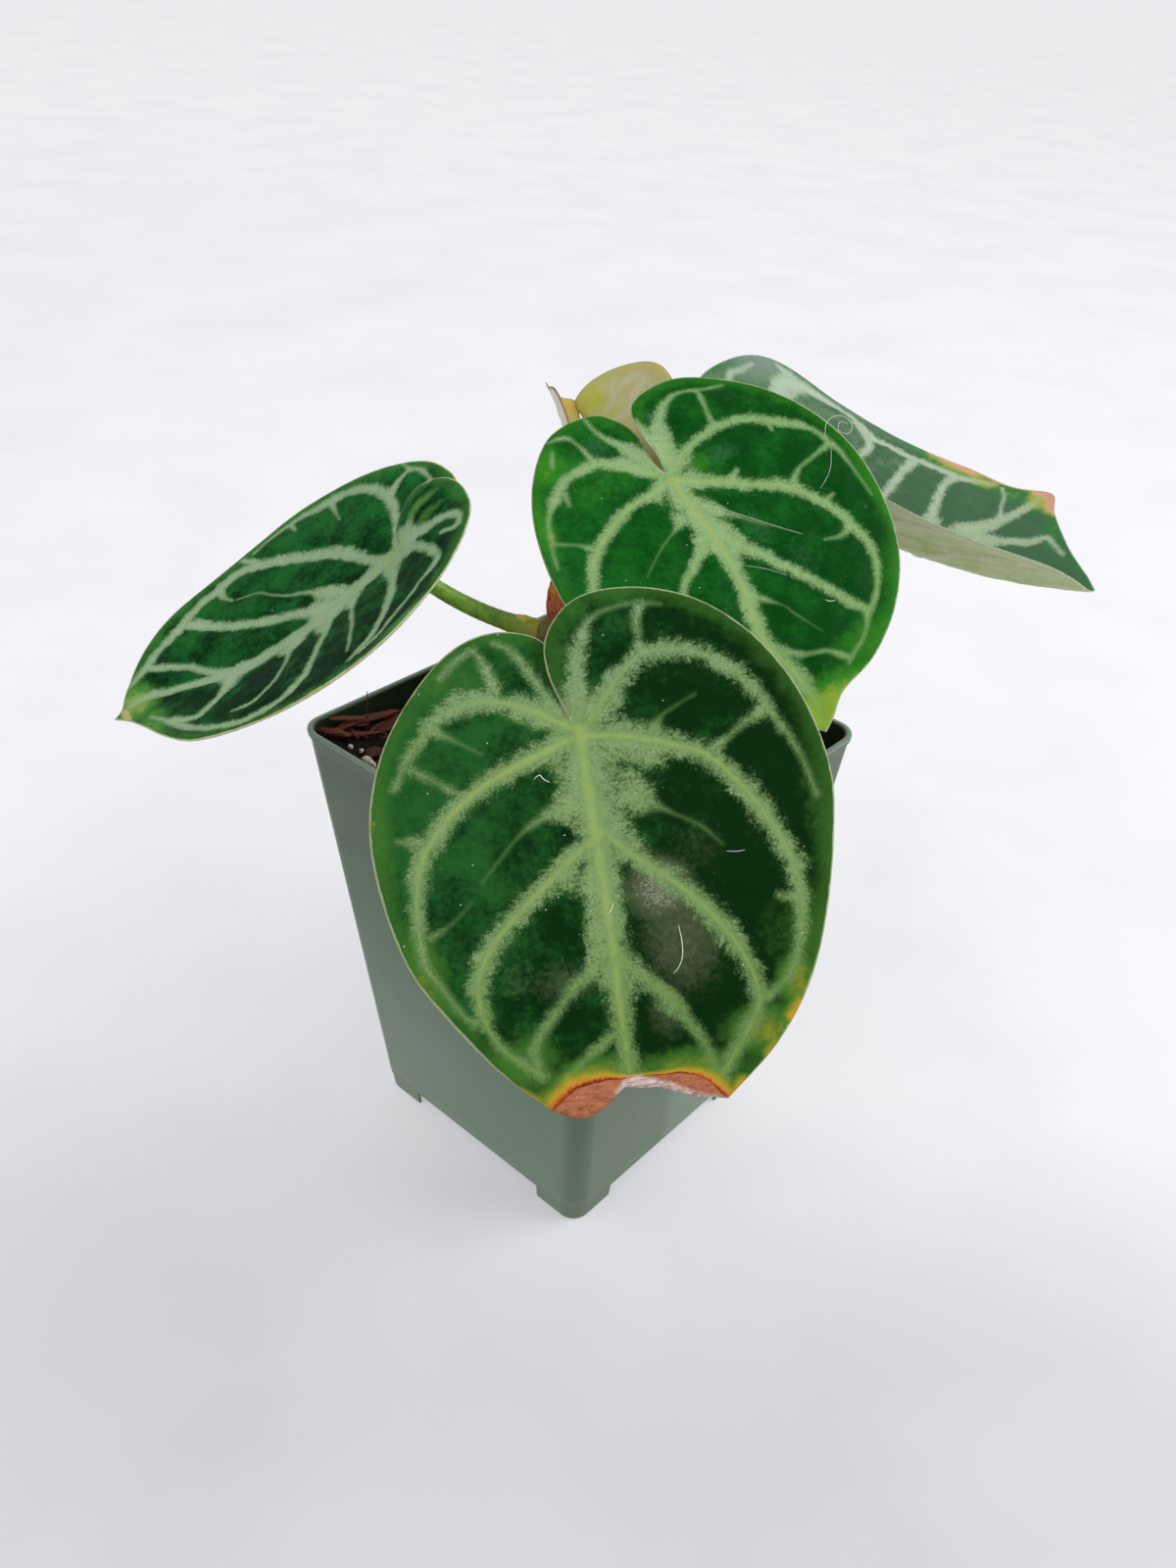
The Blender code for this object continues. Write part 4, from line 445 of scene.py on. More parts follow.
CAMERA_AZIMUTH = 40.5
CAMERA_PITCH = 33.87
CAMERA_ROLL = 2.88
CAMERA_DISTANCE = 338.93
CAMERA_ASIDE = (-5.04, -57.03)
FOCAL_PIXELS = 1350.0
PICTURE_LONG_SIDE = 1600.0
SENSOR = 36.0

WORLD_COLOUR = (0.97, 0.97, 1.0, 1.0)
WORLD_STRENGTH = 0.62
FLOOR_REACH = 9.0


def colour(code):
    """A linear colour from a six-digit sRGB code."""
    parts = [int(code[i : i + 2], 16) / 255 for i in (0, 2, 4)]
    return (*[p / 12.92 if p <= 0.04045 else ((p + 0.055) / 1.055) ** 2.4 for p in parts], 1.0)


class Shade:
    """The nodes of one material. A position is in millimetres."""

    def __init__(self, name):
        self.material = bpy.data.materials.new(name)
        self.material.use_nodes = True
        self.tree = self.material.node_tree
        self.shader = self.tree.nodes["Principled BSDF"]

    def put(self, socket, value):
        if isinstance(value, bpy.types.NodeSocket):
            self.tree.links.new(value, socket)
        elif isinstance(value, str):
            socket.default_value = colour(value)
        else:
            socket.default_value = value

    def node(self, kind, inputs, **settings):
        made = self.tree.nodes.new("ShaderNode" + kind)
        for name, value in settings.items():
            setattr(made, name, value)
        for key, value in inputs.items():
            self.put(made.inputs[key], value)
        return made

    def attribute(self, name, output="Fac"):
        return self.node("Attribute", {}, attribute_name=name).outputs[output]

    def place(self):
        there = self.node("TexCoord", {}).outputs["Object"]
        return self.node("VectorMath", {0: there, "Scale": 1 / MM}, operation="SCALE").outputs["Vector"]

    def stretch(self, at, sizes):
        shares = [1 / size for size in sizes]
        return self.node("VectorMath", {0: at, 1: shares}, operation="MULTIPLY").outputs["Vector"]

    def noise(self, at, size, detail=3.0, roughness=0.55, warp=0.0):
        inputs = {"Vector": at, "Scale": 1 / size, "Detail": detail}
        inputs.update({"Roughness": roughness, "Distortion": warp})
        return self.node("TexNoise", inputs).outputs["Fac"]

    def cells(self, at, size, feature="F1", output="Distance"):
        return self.node("TexVoronoi", {"Vector": at, "Scale": 1 / size}, feature=feature).outputs[output]

    def math(self, operation, a, b=0.0):
        return self.node("Math", {0: a, 1: b}, operation=operation).outputs[0]

    def smooth(self, value, start, end, low=0.0, high=1.0):
        """low where value is at start, high where it is at end, and smooth between."""
        inputs = {"Value": value, "From Min": start, "From Max": end, "To Min": low, "To Max": high}
        return self.node("MapRange", inputs, interpolation_type="SMOOTHSTEP").outputs[0]

    def scale(self, value, start, end):
        """A straight scale of value to 0..1, held at its ends."""
        return self.node("MapRange", {"Value": value, "From Min": start, "From Max": end}).outputs[0]

    def around(self, value, amount):
        """A noise turned from 0..1 to run from -amount to amount."""
        return self.node("Math", {0: value, 1: 2 * amount, 2: -amount}, operation="MULTIPLY_ADD").outputs[0]

    def plus(self, value, *noises):
        """A value with noises added, each of which runs to its own amount on both sides of nothing."""
        for noise, amount in noises:
            value = self.math("ADD", value, self.around(noise, amount))
        return value

    def add(self, a, b, share):
        """a with a share of b."""
        return self.math("ADD", a, self.math("MULTIPLY", b, share))

    def mix(self, share, a, b):
        made = self.node("Mix", {0: share}, data_type="RGBA")
        self.put(made.inputs[6], a)
        self.put(made.inputs[7], b)
        return made.outputs[2]

    def over(self, first, second, value, start, end, most=1.0):
        """The first colour where value is at start, and up to most of the second over it at end."""
        return self.mix(self.smooth(value, start, end, 0.0, most), first, second)

    def ramp(self, value, stops):
        """A colour ramp. Each stop is a place, a colour and how solid it is."""
        made = self.node("ValToRGB", {0: value})
        points = made.color_ramp.elements
        while len(points) < len(stops):
            points.new(1.0)
        for point, (at, code, solid) in zip(points, stops):
            point.position = at
            point.color = (*colour(code)[:3], solid)
        return made.outputs["Color"], made.outputs["Alpha"]

    def bump(self, height, depth, strength=1.0, over=None):
        inputs = {"Height": height, "Distance": depth * MM, "Strength": strength}
        if over:
            inputs["Normal"] = over
        return self.node("Bump", inputs).outputs["Normal"]

    def finish(self, **sockets):
        for name, value in sockets.items():
            self.put(self.shader.inputs[name.replace("_", " ")], value)
        return self.material


def new_mesh(name, points, faces, materials, numbers=None, values=None):
    """A smooth mesh object from points in millimetres from the middle of the pot's base.
    numbers gives each face's material, and values each point's named attributes."""
    mesh = bpy.data.meshes.new(name)
    place = (np.asarray(points, float) + POT_MIDDLE) * MM
    faces = [tuple(int(v) for v in f) for f in faces]
    mesh.from_pydata(place.tolist(), [], faces)
    for item in materials:
        mesh.materials.append(item)
    if numbers is not None:
        mesh.polygons.foreach_set("material_index", np.asarray(numbers, np.int32))
    for key, value in (values or {}).items():
        value = np.asarray(value, np.float32)
        kind = "FLOAT_VECTOR" if value.ndim == 2 else "FLOAT"
        data = mesh.attributes.new(key, kind, "POINT").data
        data.foreach_set("vector" if value.ndim == 2 else "value", value.ravel())
    mesh.shade_smooth()
    mesh.update()
    obj = bpy.data.objects.new(name, mesh)
    bpy.context.scene.collection.objects.link(obj)
    return obj


def settle(obj, slot, *nodes):
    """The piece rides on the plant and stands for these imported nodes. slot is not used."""
    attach(obj, "root")
    if nodes:
        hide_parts(*nodes)
    return obj


def ripple(points, size, seed, waves=10):
    """Smooth uneven waves about this long, from about -1 to 1."""
    rng = np.random.default_rng(seed)
    ways = rng.normal(size=(waves, points.shape[1]))
    ways *= (rng.uniform(0.6, 1.7, waves) / np.linalg.norm(ways, axis=1))[:, None]
    turns = points @ ways.T * 2 * np.pi / size + rng.uniform(0, 6.3, waves)
    return np.sin(turns).sum(axis=1) / math.sqrt(2 * waves)


def through(points, step):
    """A smooth curve through the points, with a point about every step."""
    rail = np.array(points, float)
    rail = np.vstack([2 * rail[0] - rail[1], rail, 2 * rail[-1] - rail[-2]])
    fine = []
    for a, b, c, d in zip(rail, rail[1:], rail[2:], rail[3:]):
        t = np.linspace(0, 1, 13)[:-1, None]
        square, cube = a - 2.5 * b + 2 * c - 0.5 * d, 3 * (b - c) + d - a
        fine.append(b + 0.5 * t * (c - a) + t**2 * square + 0.5 * t**3 * cube)
    fine = np.vstack([*fine, rail[-2]])
    run = np.concatenate([[0], np.cumsum(np.linalg.norm(np.diff(fine, axis=0), axis=1))])
    at = np.linspace(0, run[-1], max(3, round(run[-1] / step) + 1))
    return np.stack([np.interp(at, run, fine[:, i]) for i in range(fine.shape[1])], axis=1)


def leaf_axes(leaf):
    """The leaf's own axes in the world: across to its right, back along its midrib, and out of its face."""
    heading, slope, roll = (math.radians(leaf[k]) for k in ("heading", "slope", "roll"))
    way, up = np.array([math.cos(heading), math.sin(heading), 0.0]), np.array([0.0, 0.0, 1.0])
    ahead = way * math.cos(slope) - up * math.sin(slope)
    level = way * math.sin(slope) + up * math.cos(slope)
    face = math.cos(roll) * level + math.sin(roll) * np.cross(level, ahead)
    return np.stack([np.cross(face, ahead), -ahead, face], axis=1)


def bent_run(angle_at, reach):
    """Distance along, and height gained, by a sheet whose slope angle is angle_at(distance)."""
    at = np.linspace(0, reach, BEND_STEPS)
    angle = angle_at(at)
    middle = (angle[1:] + angle[:-1]) / 2
    run, rise = (np.concatenate([[0], np.cumsum(np.diff(at) * part(middle))]) for part in (np.cos, np.sin))
    return at, run, rise


def cross_section(leaf, half, fold, width):
    """Where a point this far from the midrib lies across the leaf, and how high, for a given fold."""
    fold, curl = math.radians(fold), math.radians(leaf["curl"][half]) / leaf["length"]
    at, run, rise = bent_run(lambda w: fold * np.tanh(w / FOLD_SOFTNESS) + curl * w, 1.2 * leaf["length"])
    return np.sign(width) * np.interp(np.abs(width), at, run), np.interp(np.abs(width), at, rise)


def shape_leaf(leaf, flat, right):
    """Points of the flat leaf, folded and bent, in the world. right is true on the right-hand half."""
    x, y = flat[:, 0], flat[:, 1]
    out = np.zeros(len(x))
    up = np.zeros(len(x))
    start, end = leaf.get("fold_run", (1, 0))
    full = np.clip((start - y) / (start - end), 0, 1)
    full = full**2 * (3 - 2 * full)
    for half, side, mask in ((0, 1, right), (1, -1, ~right)):
        near_lobes = cross_section(leaf, half, leaf.get("fold_at_lobes", leaf["fold"])[half], side * x)
        near_tip = cross_section(leaf, half, leaf["fold"][half], side * x)
        out[mask] = side * (near_lobes[0] * (1 - full) + near_tip[0] * full)[mask]
        up[mask] = (near_lobes[1] * (1 - full) + near_tip[1] * full)[mask]
    back = np.maximum(y - leaf["sinus"][1], 0) / leaf["lift_reach"]
    ramp = np.sin(np.pi * np.clip(back, 0, 1)) ** 0.7 * np.exp(-((x / LOBE_SPREAD) ** 2))
    up = up + ramp * np.where(right, *leaf["lobe_lift"])
    bend = np.radians(np.where(y < 0, leaf["droop"], leaf["back"])) / leaf["length"]
    angle = bend * np.abs(y)
    along = np.sign(y) * np.sin(angle) / bend
    down = (1 - np.cos(angle)) / bend
    local = np.stack([out, along + np.sign(y) * np.sin(angle) * up, np.cos(angle) * up - down], axis=1)
    return np.array(leaf["joint"]) + local @ leaf_axes(leaf).T


def leaf_outline(leaf, step):
    """The edge of the flat leaf, from the bottom of the sinus round the right lobe and back, and how many
    of its points are on the right-hand side. A leaf with a torn tip has an outline of its own there."""
    sinus, right, left, tip = leaf["sinus"], leaf["right"], leaf["left"], leaf.get("tip")
    end = [] if tip else [(0, -leaf["length"])]
    runs = [through([sinus, *right, *end], step)]
    if tip:
        runs.append(through(tip, step))
    runs.append(through([*end, *left[::-1], sinus], step))
    edge = np.vstack([run[:-1] for run in runs])
    return edge, len(edge) // 2 if tip else len(runs[0])


def opened(leaf, flat, right):
    """The flat leaf with its sinus spread open, so that lobes which overlap lie apart."""
    pole = np.array(leaf["sinus"])
    across, along = flat[:, 0] - pole[0], pole[1] - flat[:, 1]
    angle = np.arctan2(across, along)
    angle = np.where(right & (angle < -1.5), angle + 2 * np.pi, angle)
    angle = np.where(~right & (angle > 1.5), angle - 2 * np.pi, angle)
    reach = np.hypot(across, along)
    return np.stack([reach * np.sin(SINUS_OPENING * angle), -reach * np.cos(SINUS_OPENING * angle)], axis=1)


def closed_up(leaf, spread):
    """The reverse of opened, and which half of the leaf each point is in."""
    pole = np.array(leaf["sinus"])
    angle = np.arctan2(spread[:, 0], -spread[:, 1]) / SINUS_OPENING
    reach = np.hypot(spread[:, 0], spread[:, 1])
    flat = np.stack([pole[0] + reach * np.sin(angle), pole[1] - reach * np.cos(angle)], axis=1)
    right = np.where(flat[:, 1] > pole[1], angle > 0, flat[:, 0] > 0)
    return flat, right


def nearest(points, line):
    """How far each point is from a line, and how far along the line that is."""
    start, way = line[:-1], np.diff(line, axis=0)
    long = np.linalg.norm(way, axis=1)
    run = np.concatenate([[0], np.cumsum(long)])
    best = np.full(len(points), 1e9)
    along = np.zeros(len(points))
    for i in range(len(start)):
        share = np.clip(((points - start[i]) @ way[i]) / long[i] ** 2, 0, 1)
        gap = np.linalg.norm(points - start[i] - share[:, None] * way[i], axis=1)
        closer = gap < best
        best[closer] = gap[closer]
        along[closer] = run[i] + share[closer] * long[i]
    return best, along, run[-1]


def layout(leaf, key):
    """A fine net of places and triangles over the opened blade, with places along the veins."""
    edge, split = leaf_outline(leaf, LEAF_STEP)
    edge = opened(leaf, edge, np.arange(len(edge)) < split)
    lines = []
    for *_, route in VEINS[key]:
        line = through([p[:2] for p in route], LEAF_STEP)
        lines.append(opened(leaf, line, np.full(len(line), line[-1, 0] > 0)))
    low, high = edge.min(axis=0), edge.max(axis=0)
    rows = np.arange(low[1], high[1], LEAF_STEP * 0.87)
    columns = np.arange(low[0], high[0], LEAF_STEP)
    grid = np.array([(x + (i % 2) * LEAF_STEP / 2, y) for i, y in enumerate(rows) for x in columns])
    taken = set()
    fixed = np.vstack([edge, *lines])
    cell = 0.6 * LEAF_STEP
    for x, y in np.floor(fixed / cell).astype(int):
        taken.update((x + i, y + j) for i in (-1, 0, 1) for j in (-1, 0, 1))
    free = [tuple(c) not in taken for c in np.floor(grid / cell).astype(int)]
    points = np.vstack([edge, *lines, grid[free]])
    made = delaunay_2d_cdt([Vector(p) for p in points], [], [list(range(len(edge)))], 1, 0.05)
    places = np.array([(p.x, p.y) for p in made[0]])
    triangles = np.array([f for f in made[2] if len(f) == 3])
    used = np.unique(triangles)
    renumber = np.full(len(places), -1)
    renumber[used] = np.arange(len(used))
    return places[used], renumber[triangles], edge


def patch_values(patches, flat):
    """The strongest of some soft round patches at each place."""
    found = np.zeros(len(flat))
    for x, y, across, along, strength in patches:
        reach = ((flat[:, 0] - x) / across) ** 2 + ((flat[:, 1] - y) / along) ** 2
        found = np.maximum(found, strength * np.exp(-(reach**1.5)))
    return found


def vein_values(key, flat):
    """How far each place is past the edge of the nearest pale band, half the width of that band, how yellow
    the place is, how far it is from a vein in relief, and where it is along and beside its band."""
    count = len(flat)
    outside = np.full(count, 99.0)
    wide = np.ones(count)
    core = np.zeros(count)
    strand = np.full(count, 99.0)
    grain = np.zeros((count, 3))
    for number, (root_core, end_core, route) in enumerate(VEINS[key]):
        line = through(route, 1.2)
        gap, along, total = nearest(flat, line[:, :2])
        half = np.interp(along, np.linspace(0, total, len(line)), line[:, 2])
        closer = gap - half < outside
        outside[closer] = (gap - half)[closer]
        wide[closer] = half[closer]
        grain[closer] = np.stack([along - 0.8 * gap, gap, np.full(count, 40.0 * number)], axis=1)[closer]
        yellow = (root_core + (end_core - root_core) * along / total) * np.clip(0.4 + half, 0.4, 1)
        core = np.maximum(core, yellow * np.exp(-((gap / (0.25 + 0.34 * np.maximum(half, 0))) ** 2)))
        if line[:, 2].mean() > 0.7:
            strand = np.minimum(strand, gap)
    return outside, wide, core, strand, grain


def paleness(outside, haze):
    """How far each place is past the edge of the pale zone, which fades more slowly where there is haze."""
    return (outside - haze) / (1 + 0.35 * haze)


def scorch_values(key, flat, rim):
    """How far from dead tissue each place is, as a share of how far the yellowing reaches, so that it is
    under 0 where the tissue is dead, and how much of the pale torn strip it has."""
    rule = SCORCH.get(key, {})
    found = np.full(len(flat), 9.0)
    torn = np.zeros(len(flat))
    if "dead" in rule:
        line = through(rule["dead"], 0.8)
        gap = nearest(flat, line)[0]
        x, y = flat[:, 0], flat[:, 1]
        beyond = (y < np.interp(x, line[:, 0], line[:, 1])) & (np.abs(x + 1.2) < 17.2)
        found = np.where(beyond, -gap, gap) / np.interp(x, *np.array(rule["reach"]).T)
        deep = np.interp(x, *np.array(rule["torn"]).T)
        torn = np.clip((deep - rim) / 0.5, 0, 1) * beyond
    for route, reach in rule.get("margin", []):
        gap = nearest(flat, through(route, 1.0))[0]
        found = np.minimum(found, (gap + 0.6) / reach)
    return found, torn


def leaf_normals(leaf, flat, right):
    """The directions straight out of the bent leaf's face."""
    nudges = np.eye(2) * 0.4
    east, north = (shape_leaf(leaf, flat + n, right) - shape_leaf(leaf, flat - n, right) for n in nudges)
    normal = np.cross(east, north)
    return normal / np.linalg.norm(normal, axis=1)[:, None]


def leaf_lift(leaf, spread, flat, rim, strand, seed):
    """How far the middle of the blade stands off its smooth shape: waves, and quilting between veins."""
    size, count, phase = leaf["wave"]
    turn = np.arctan2(spread[:, 0], -spread[:, 1])
    lift = size * np.sin(count * turn + phase) * np.exp(-rim / 7.0)
    inner = 1 - np.exp(-rim / 5.0)
    lift = lift + QUILT * (1 - np.exp(-((strand / 5.0) ** 2))) * inner
    return lift + (0.16 * ripple(flat, 9.0, seed) + 0.07 * ripple(flat, 4.0, seed + 1)) * inner


def make_leaf(key, materials, slot):
    """One blade as a closed sheet, with the values that its materials read at each point."""
    leaf = LEAVES[key]
    spread, triangles, edge = layout(leaf, key)
    flat, right = closed_up(leaf, spread)
    rim = nearest(spread, np.vstack([edge, edge[:1]])[::2])[0]
    outside, wide, core, strand, grain = vein_values(key, flat)
    haze, glow, dull_and_sheen = (patch_values(table[key], flat) for table in (HAZE, GLOW, DULL_AND_SHEEN))
    scorch, torn = scorch_values(key, flat, rim)
    lift = leaf_lift(leaf, spread, flat, rim, strand, ord(key))
    dead = np.clip(-scorch * 2, 0, 1)
    lift = lift + dead * (0.5 * ripple(flat, 3.2, 5) + 0.3 * ripple(flat, 1.7, 6))
    vein = np.exp(-((strand / 0.5) ** 2))
    middle = shape_leaf(leaf, flat, right)
    normal = leaf_normals(leaf, flat, right)
    slim = 0.5 * BLADE_THICKNESS * (0.5 + 0.5 * np.clip(rim / 0.8, 0, 1))
    above = lift + slim + 0.12 * vein - 0.20 * np.exp(-((strand / 1.6) ** 2))
    below = lift - slim - 0.45 * vein * np.clip(rim / 2, 0, 1)
    points = np.vstack([middle + normal * above[:, None], middle + normal * below[:, None]])
    n = len(flat)
    sides = np.vstack([triangles[:, [0, 1]], triangles[:, [1, 2]], triangles[:, [2, 0]]])
    coded = sides[:, 0] * n + sides[:, 1]
    bare = sides[~np.isin(coded, sides[:, 1] * n + sides[:, 0])]
    faces = list(triangles) + list(n + triangles[:, ::-1])
    faces += [(b, a, n + a, n + b) for a, b in bare]
    numbers = [0] * len(triangles) + [1] * len(triangles) + [2] * len(bare)
    values = {
        "flat": np.column_stack([flat, np.zeros(n)]),
        "grain": grain,
        # The pale zone spreads where there is haze, in part painted sheen.
        "outside": paleness(outside, haze),
        "loose": np.clip(0.15 + 0.62 * np.maximum(wide, 0) + 0.25 * haze, 0.2, 1.3),
        "cell_tone_and_light": CELL_TONE_AND_LIGHT[key][0] + CELL_TONE_AND_LIGHT[key][1] * flat[:, 0] + CELL_TONE_AND_LIGHT[key][2] * flat[:, 1],
        "hem": rim - patch_values(HEM.get(key, []), flat),
        "core": core,
        "rim": rim,
        "glow": glow,
        "dull_and_sheen": dull_and_sheen,
        "scorch": scorch,
        "torn": torn,
    }
    values = {name: np.concatenate([value, value]) for name, value in values.items()}
    obj = new_mesh(f"leaf_{key}", points, faces, materials, numbers, values)
    return settle(obj, slot, f"leaf_{key}_blade")


SCORCH_BROWN = [
    (0.0, "9a5a40", 1.0), (0.2, "a4603f", 1.0), (0.245, "6a2a16", 1.0), (0.285, "8c3e1c", 1.0),
    (0.33, "bb5c28", 1.0), (0.4, "d0862e", 1.0), (0.5, "bda034", 0.95), (0.64, "9c982e", 0.8),
    (0.8, "748a2a", 0.45), (0.96, "557c24", 0.0),
]
SCORCH_PINK = [
    (0.0, "b06a55", 1.0), (0.27, "b06450", 1.0), (0.34, "c98a74", 1.0), (0.5, "cf9a80", 1.0),
    (0.6, "cfa57c", 0.95), (0.7, "b9a860", 0.85), (0.82, "a3ab50", 0.7), (0.97, "7f9a48", 0.0),
]
SCORCH_TAN = [
    (0.0, "8a6c48", 1.0), (0.33, "a08458", 1.0), (0.5, "c0a878", 1.0), (0.65, "bcb478", 0.9),
    (0.8, "90a458", 0.5), (0.97, "5c8c3c", 0.0),
]


def leaf_top(name, tones):
    """Velvet: dark cells between feathered silvery veins, brighter parts, and a pale line along the edge."""
    s = Shade(name)
    flat = s.attribute("flat", "Vector")
    patches = s.noise(flat, 9, 3)
    wobble = s.noise(flat, 3.2, 3)
    mottle = s.noise(flat, 1.3, 5, 0.7)
    speckle = s.noise(flat, 0.6, 3, 0.7)
    grit = s.noise(flat, 0.26, 2, 0.6)
    streak = s.noise(s.stretch(s.attribute("grain", "Vector"), (0.75, 3.6, 1)), 1, 3, 0.65)

    # How pale the cells are: their own tone, with a slope across the blade that is painted light.
    cell_tone_and_light = s.plus(s.attribute("cell_tone_and_light"), (patches, 1.1), (mottle, 0.7))
    glow = s.plus(s.attribute("glow"), (wobble, 0.35), (mottle, 0.3))
    # Greyed or bronzed patches, in part painted sheen.
    dull_and_sheen = s.plus(s.attribute("dull_and_sheen"), (mottle, 0.5))
    outer = s.over(tones["outer"], tones["ripe"], glow, 0.85, 1.4)
    body = s.over(tones["cell"], tones["cell_light"], cell_tone_and_light, 0, 1)
    body = s.over(body, tones["outer"], s.plus(s.attribute("rim"), (wobble, 3)), 4.5, 0.5, 0.45)
    body = s.over(body, outer, glow, 0.15, 1.0, 0.95)
    body = s.over(body, tones["dull_and_sheen"], dull_and_sheen, 0.2, 1.0, 0.8)
    spots = s.math("ADD", s.noise(flat, 0.55, 4, 0.8), s.smooth(dull_and_sheen, 0.6, 1.4, -0.14, 0.16))
    body = s.over(body, tones["dull_and_sheen_spots"], spots, 0.5, 0.66, 0.8)

    crystal = s.plus(s.around(speckle, 2.6), (grit, 2.6))
    ragged = s.add(s.plus(s.around(streak, 1.0), (mottle, 1.2), (wobble, 1.5)), crystal, 0.45)
    ragged = s.math("MULTIPLY", ragged, s.math("MULTIPLY", s.attribute("loose"), tones["feather"]))
    edge = s.math("ADD", s.attribute("outside"), ragged)
    soft = 0.2 + 0.85 * tones["feather"]
    pale = s.math("MULTIPLY", s.smooth(edge, soft, -soft), s.smooth(grit, 0.25, 0.5, 0.78, 1.0))
    along = s.node("SeparateXYZ", {0: flat}).outputs["Y"]
    far = s.over(tones["silver"], tones["silver_low"], along, -32, -70)
    far = s.over(far, tones["silver_lobe"], along, 2, 16)
    silver = s.over(tones["silver_dark"], far, s.add(edge, crystal, 0.9), 0.1, -2.3)
    silver = s.over(silver, tones["ripe"], glow, 0.9, 1.4, 0.6)
    body = s.mix(pale, body, silver)
    lit = s.math("MULTIPLY", s.attribute("core"), s.smooth(speckle, 0.15, 0.6, 0.6, 1.0))
    lit = s.math("MULTIPLY", lit, s.smooth(wobble, 0.3, 0.6, 0.5, 0.9))
    body = s.mix(lit, body, s.over(tones["veinlet"], tones["core"], lit, 0.1, 0.6))

    if "blush" in tones:
        x, y, across, along = tones["blush"]
        spot = s.node("VectorMath", {0: flat, 1: (-x, -y, 0)}, operation="ADD").outputs["Vector"]
        spot = s.stretch(spot, (across, along, 1))
        far = s.node("VectorMath", {0: spot}, operation="LENGTH").outputs["Value"]
        body = s.over(body, tones["blush_tone"], s.plus(far, (mottle, 0.3)), 1.2, 0.3, 0.9)
    hem = s.plus(s.attribute("hem"), (speckle, 0.15), (wobble, 0.25))
    body = s.over(body, tones["margin"], hem, 0.4, 0.12, 0.85)
    if "scorch" in tones:
        body = scorched(s, body, tones["scorch"], flat, wobble, speckle)
    chance = s.node("SeparateColor", {0: s.cells(flat, 3.1, output="Color")}).outputs[0]
    keep = s.smooth(chance, tones["dust"], tones["dust"] + 0.02)
    dust = s.math("MULTIPLY", s.smooth(s.cells(flat, 3.1), 0.055, 0.03), keep)
    height = s.add(s.math("MULTIPLY", mottle, 0.6), speckle, 0.5)
    return s.finish(
        Base_Color=s.mix(dust, body, "d9dfd2"),
        Roughness=tones["rough"],
        Specular_IOR_Level=tones["gloss"],
        Normal=s.bump(height, 0.08, 0.6),
    )


def scorched(s, body, stops, flat, wobble, speckle):
    """The yellowed and the dead tissue over the body, with streaks in what is dead and a pale torn strip."""
    reach = s.plus(s.attribute("scorch"), (wobble, 0.3), (speckle, 0.12))
    burnt, solid = s.ramp(s.scale(reach, -0.35, 1.05), stops)
    fibres = s.noise(s.stretch(flat, (3.2, 0.5, 1)), 1, 5, 0.7, 1.5)
    brown = s.over("8a452e", "bd7856", fibres, 0.3, 0.55)
    brown = s.over(brown, "d3a58e", fibres, 0.62, 0.74, 0.7)
    burnt = s.over(burnt, brown, s.attribute("scorch"), 0.0, -0.1)
    body = s.mix(solid, body, burnt)
    strip = s.over("e2d2ca", "c09080", fibres, 0.45, 0.62)
    return s.mix(s.math("MULTIPLY", s.attribute("torn"), s.smooth(fibres, 0.76, 0.62)), body, strip)


def leaf_under(name, tones):
    """The paler underside, with raised veins and a fine net."""
    s = Shade(name)
    flat = s.attribute("flat", "Vector")
    mottle = s.noise(flat, 1.3, 5, 0.65)
    net = s.smooth(s.cells(flat, 2.6, "DISTANCE_TO_EDGE"), 0.08, 0.01, 0, 0.25)
    body = s.over(tones["under"], tones["under_light"], s.noise(flat, 8, 2), 0.35, 0.65)
    body = s.over(body, tones["under_dark"], mottle, 0.45, 0.8, 0.25)
    body = s.mix(net, body, tones["under_dark"])
    body = s.over(body, tones["under_vein"], s.plus(s.attribute("outside"), (mottle, 0.8)), 0.3, -0.9, 0.75)
    body = s.mix(s.attribute("core"), body, tones["under_vein"])
    body = s.over(body, tones["margin"], s.attribute("rim"), 0.9, 0.3)
    if "scorch" in tones:
        burnt, solid = s.ramp(s.scale(s.attribute("scorch"), -0.35, 1.05), tones["scorch"])
        body = s.mix(s.math("MULTIPLY", solid, 0.85), body, burnt)
    normal = s.bump(s.math("ADD", mottle, net), 0.1, 0.6)
    return s.finish(Base_Color=body, Roughness=0.5, Specular_IOR_Level=0.35, Normal=normal)


def leaf_edge(name, tones):
    """The thin cut of the margin."""
    s = Shade(name)
    flat = s.attribute("flat", "Vector")
    body = s.over(tones["margin"], tones["margin_dark"], s.noise(flat, 1.4, 4, 0.7), 0.35, 0.7)
    if "scorch" in tones:
        torn = s.over("c9a494", "8d5540", s.noise(flat, 2.5, 4), 0.4, 0.6)
        body = s.over(body, torn, s.attribute("scorch"), 0.5, 0.1)
    return s.finish(Base_Color=body, Roughness=0.5, Normal=s.bump(s.noise(flat, 0.6, 3), 0.06, 0.5))


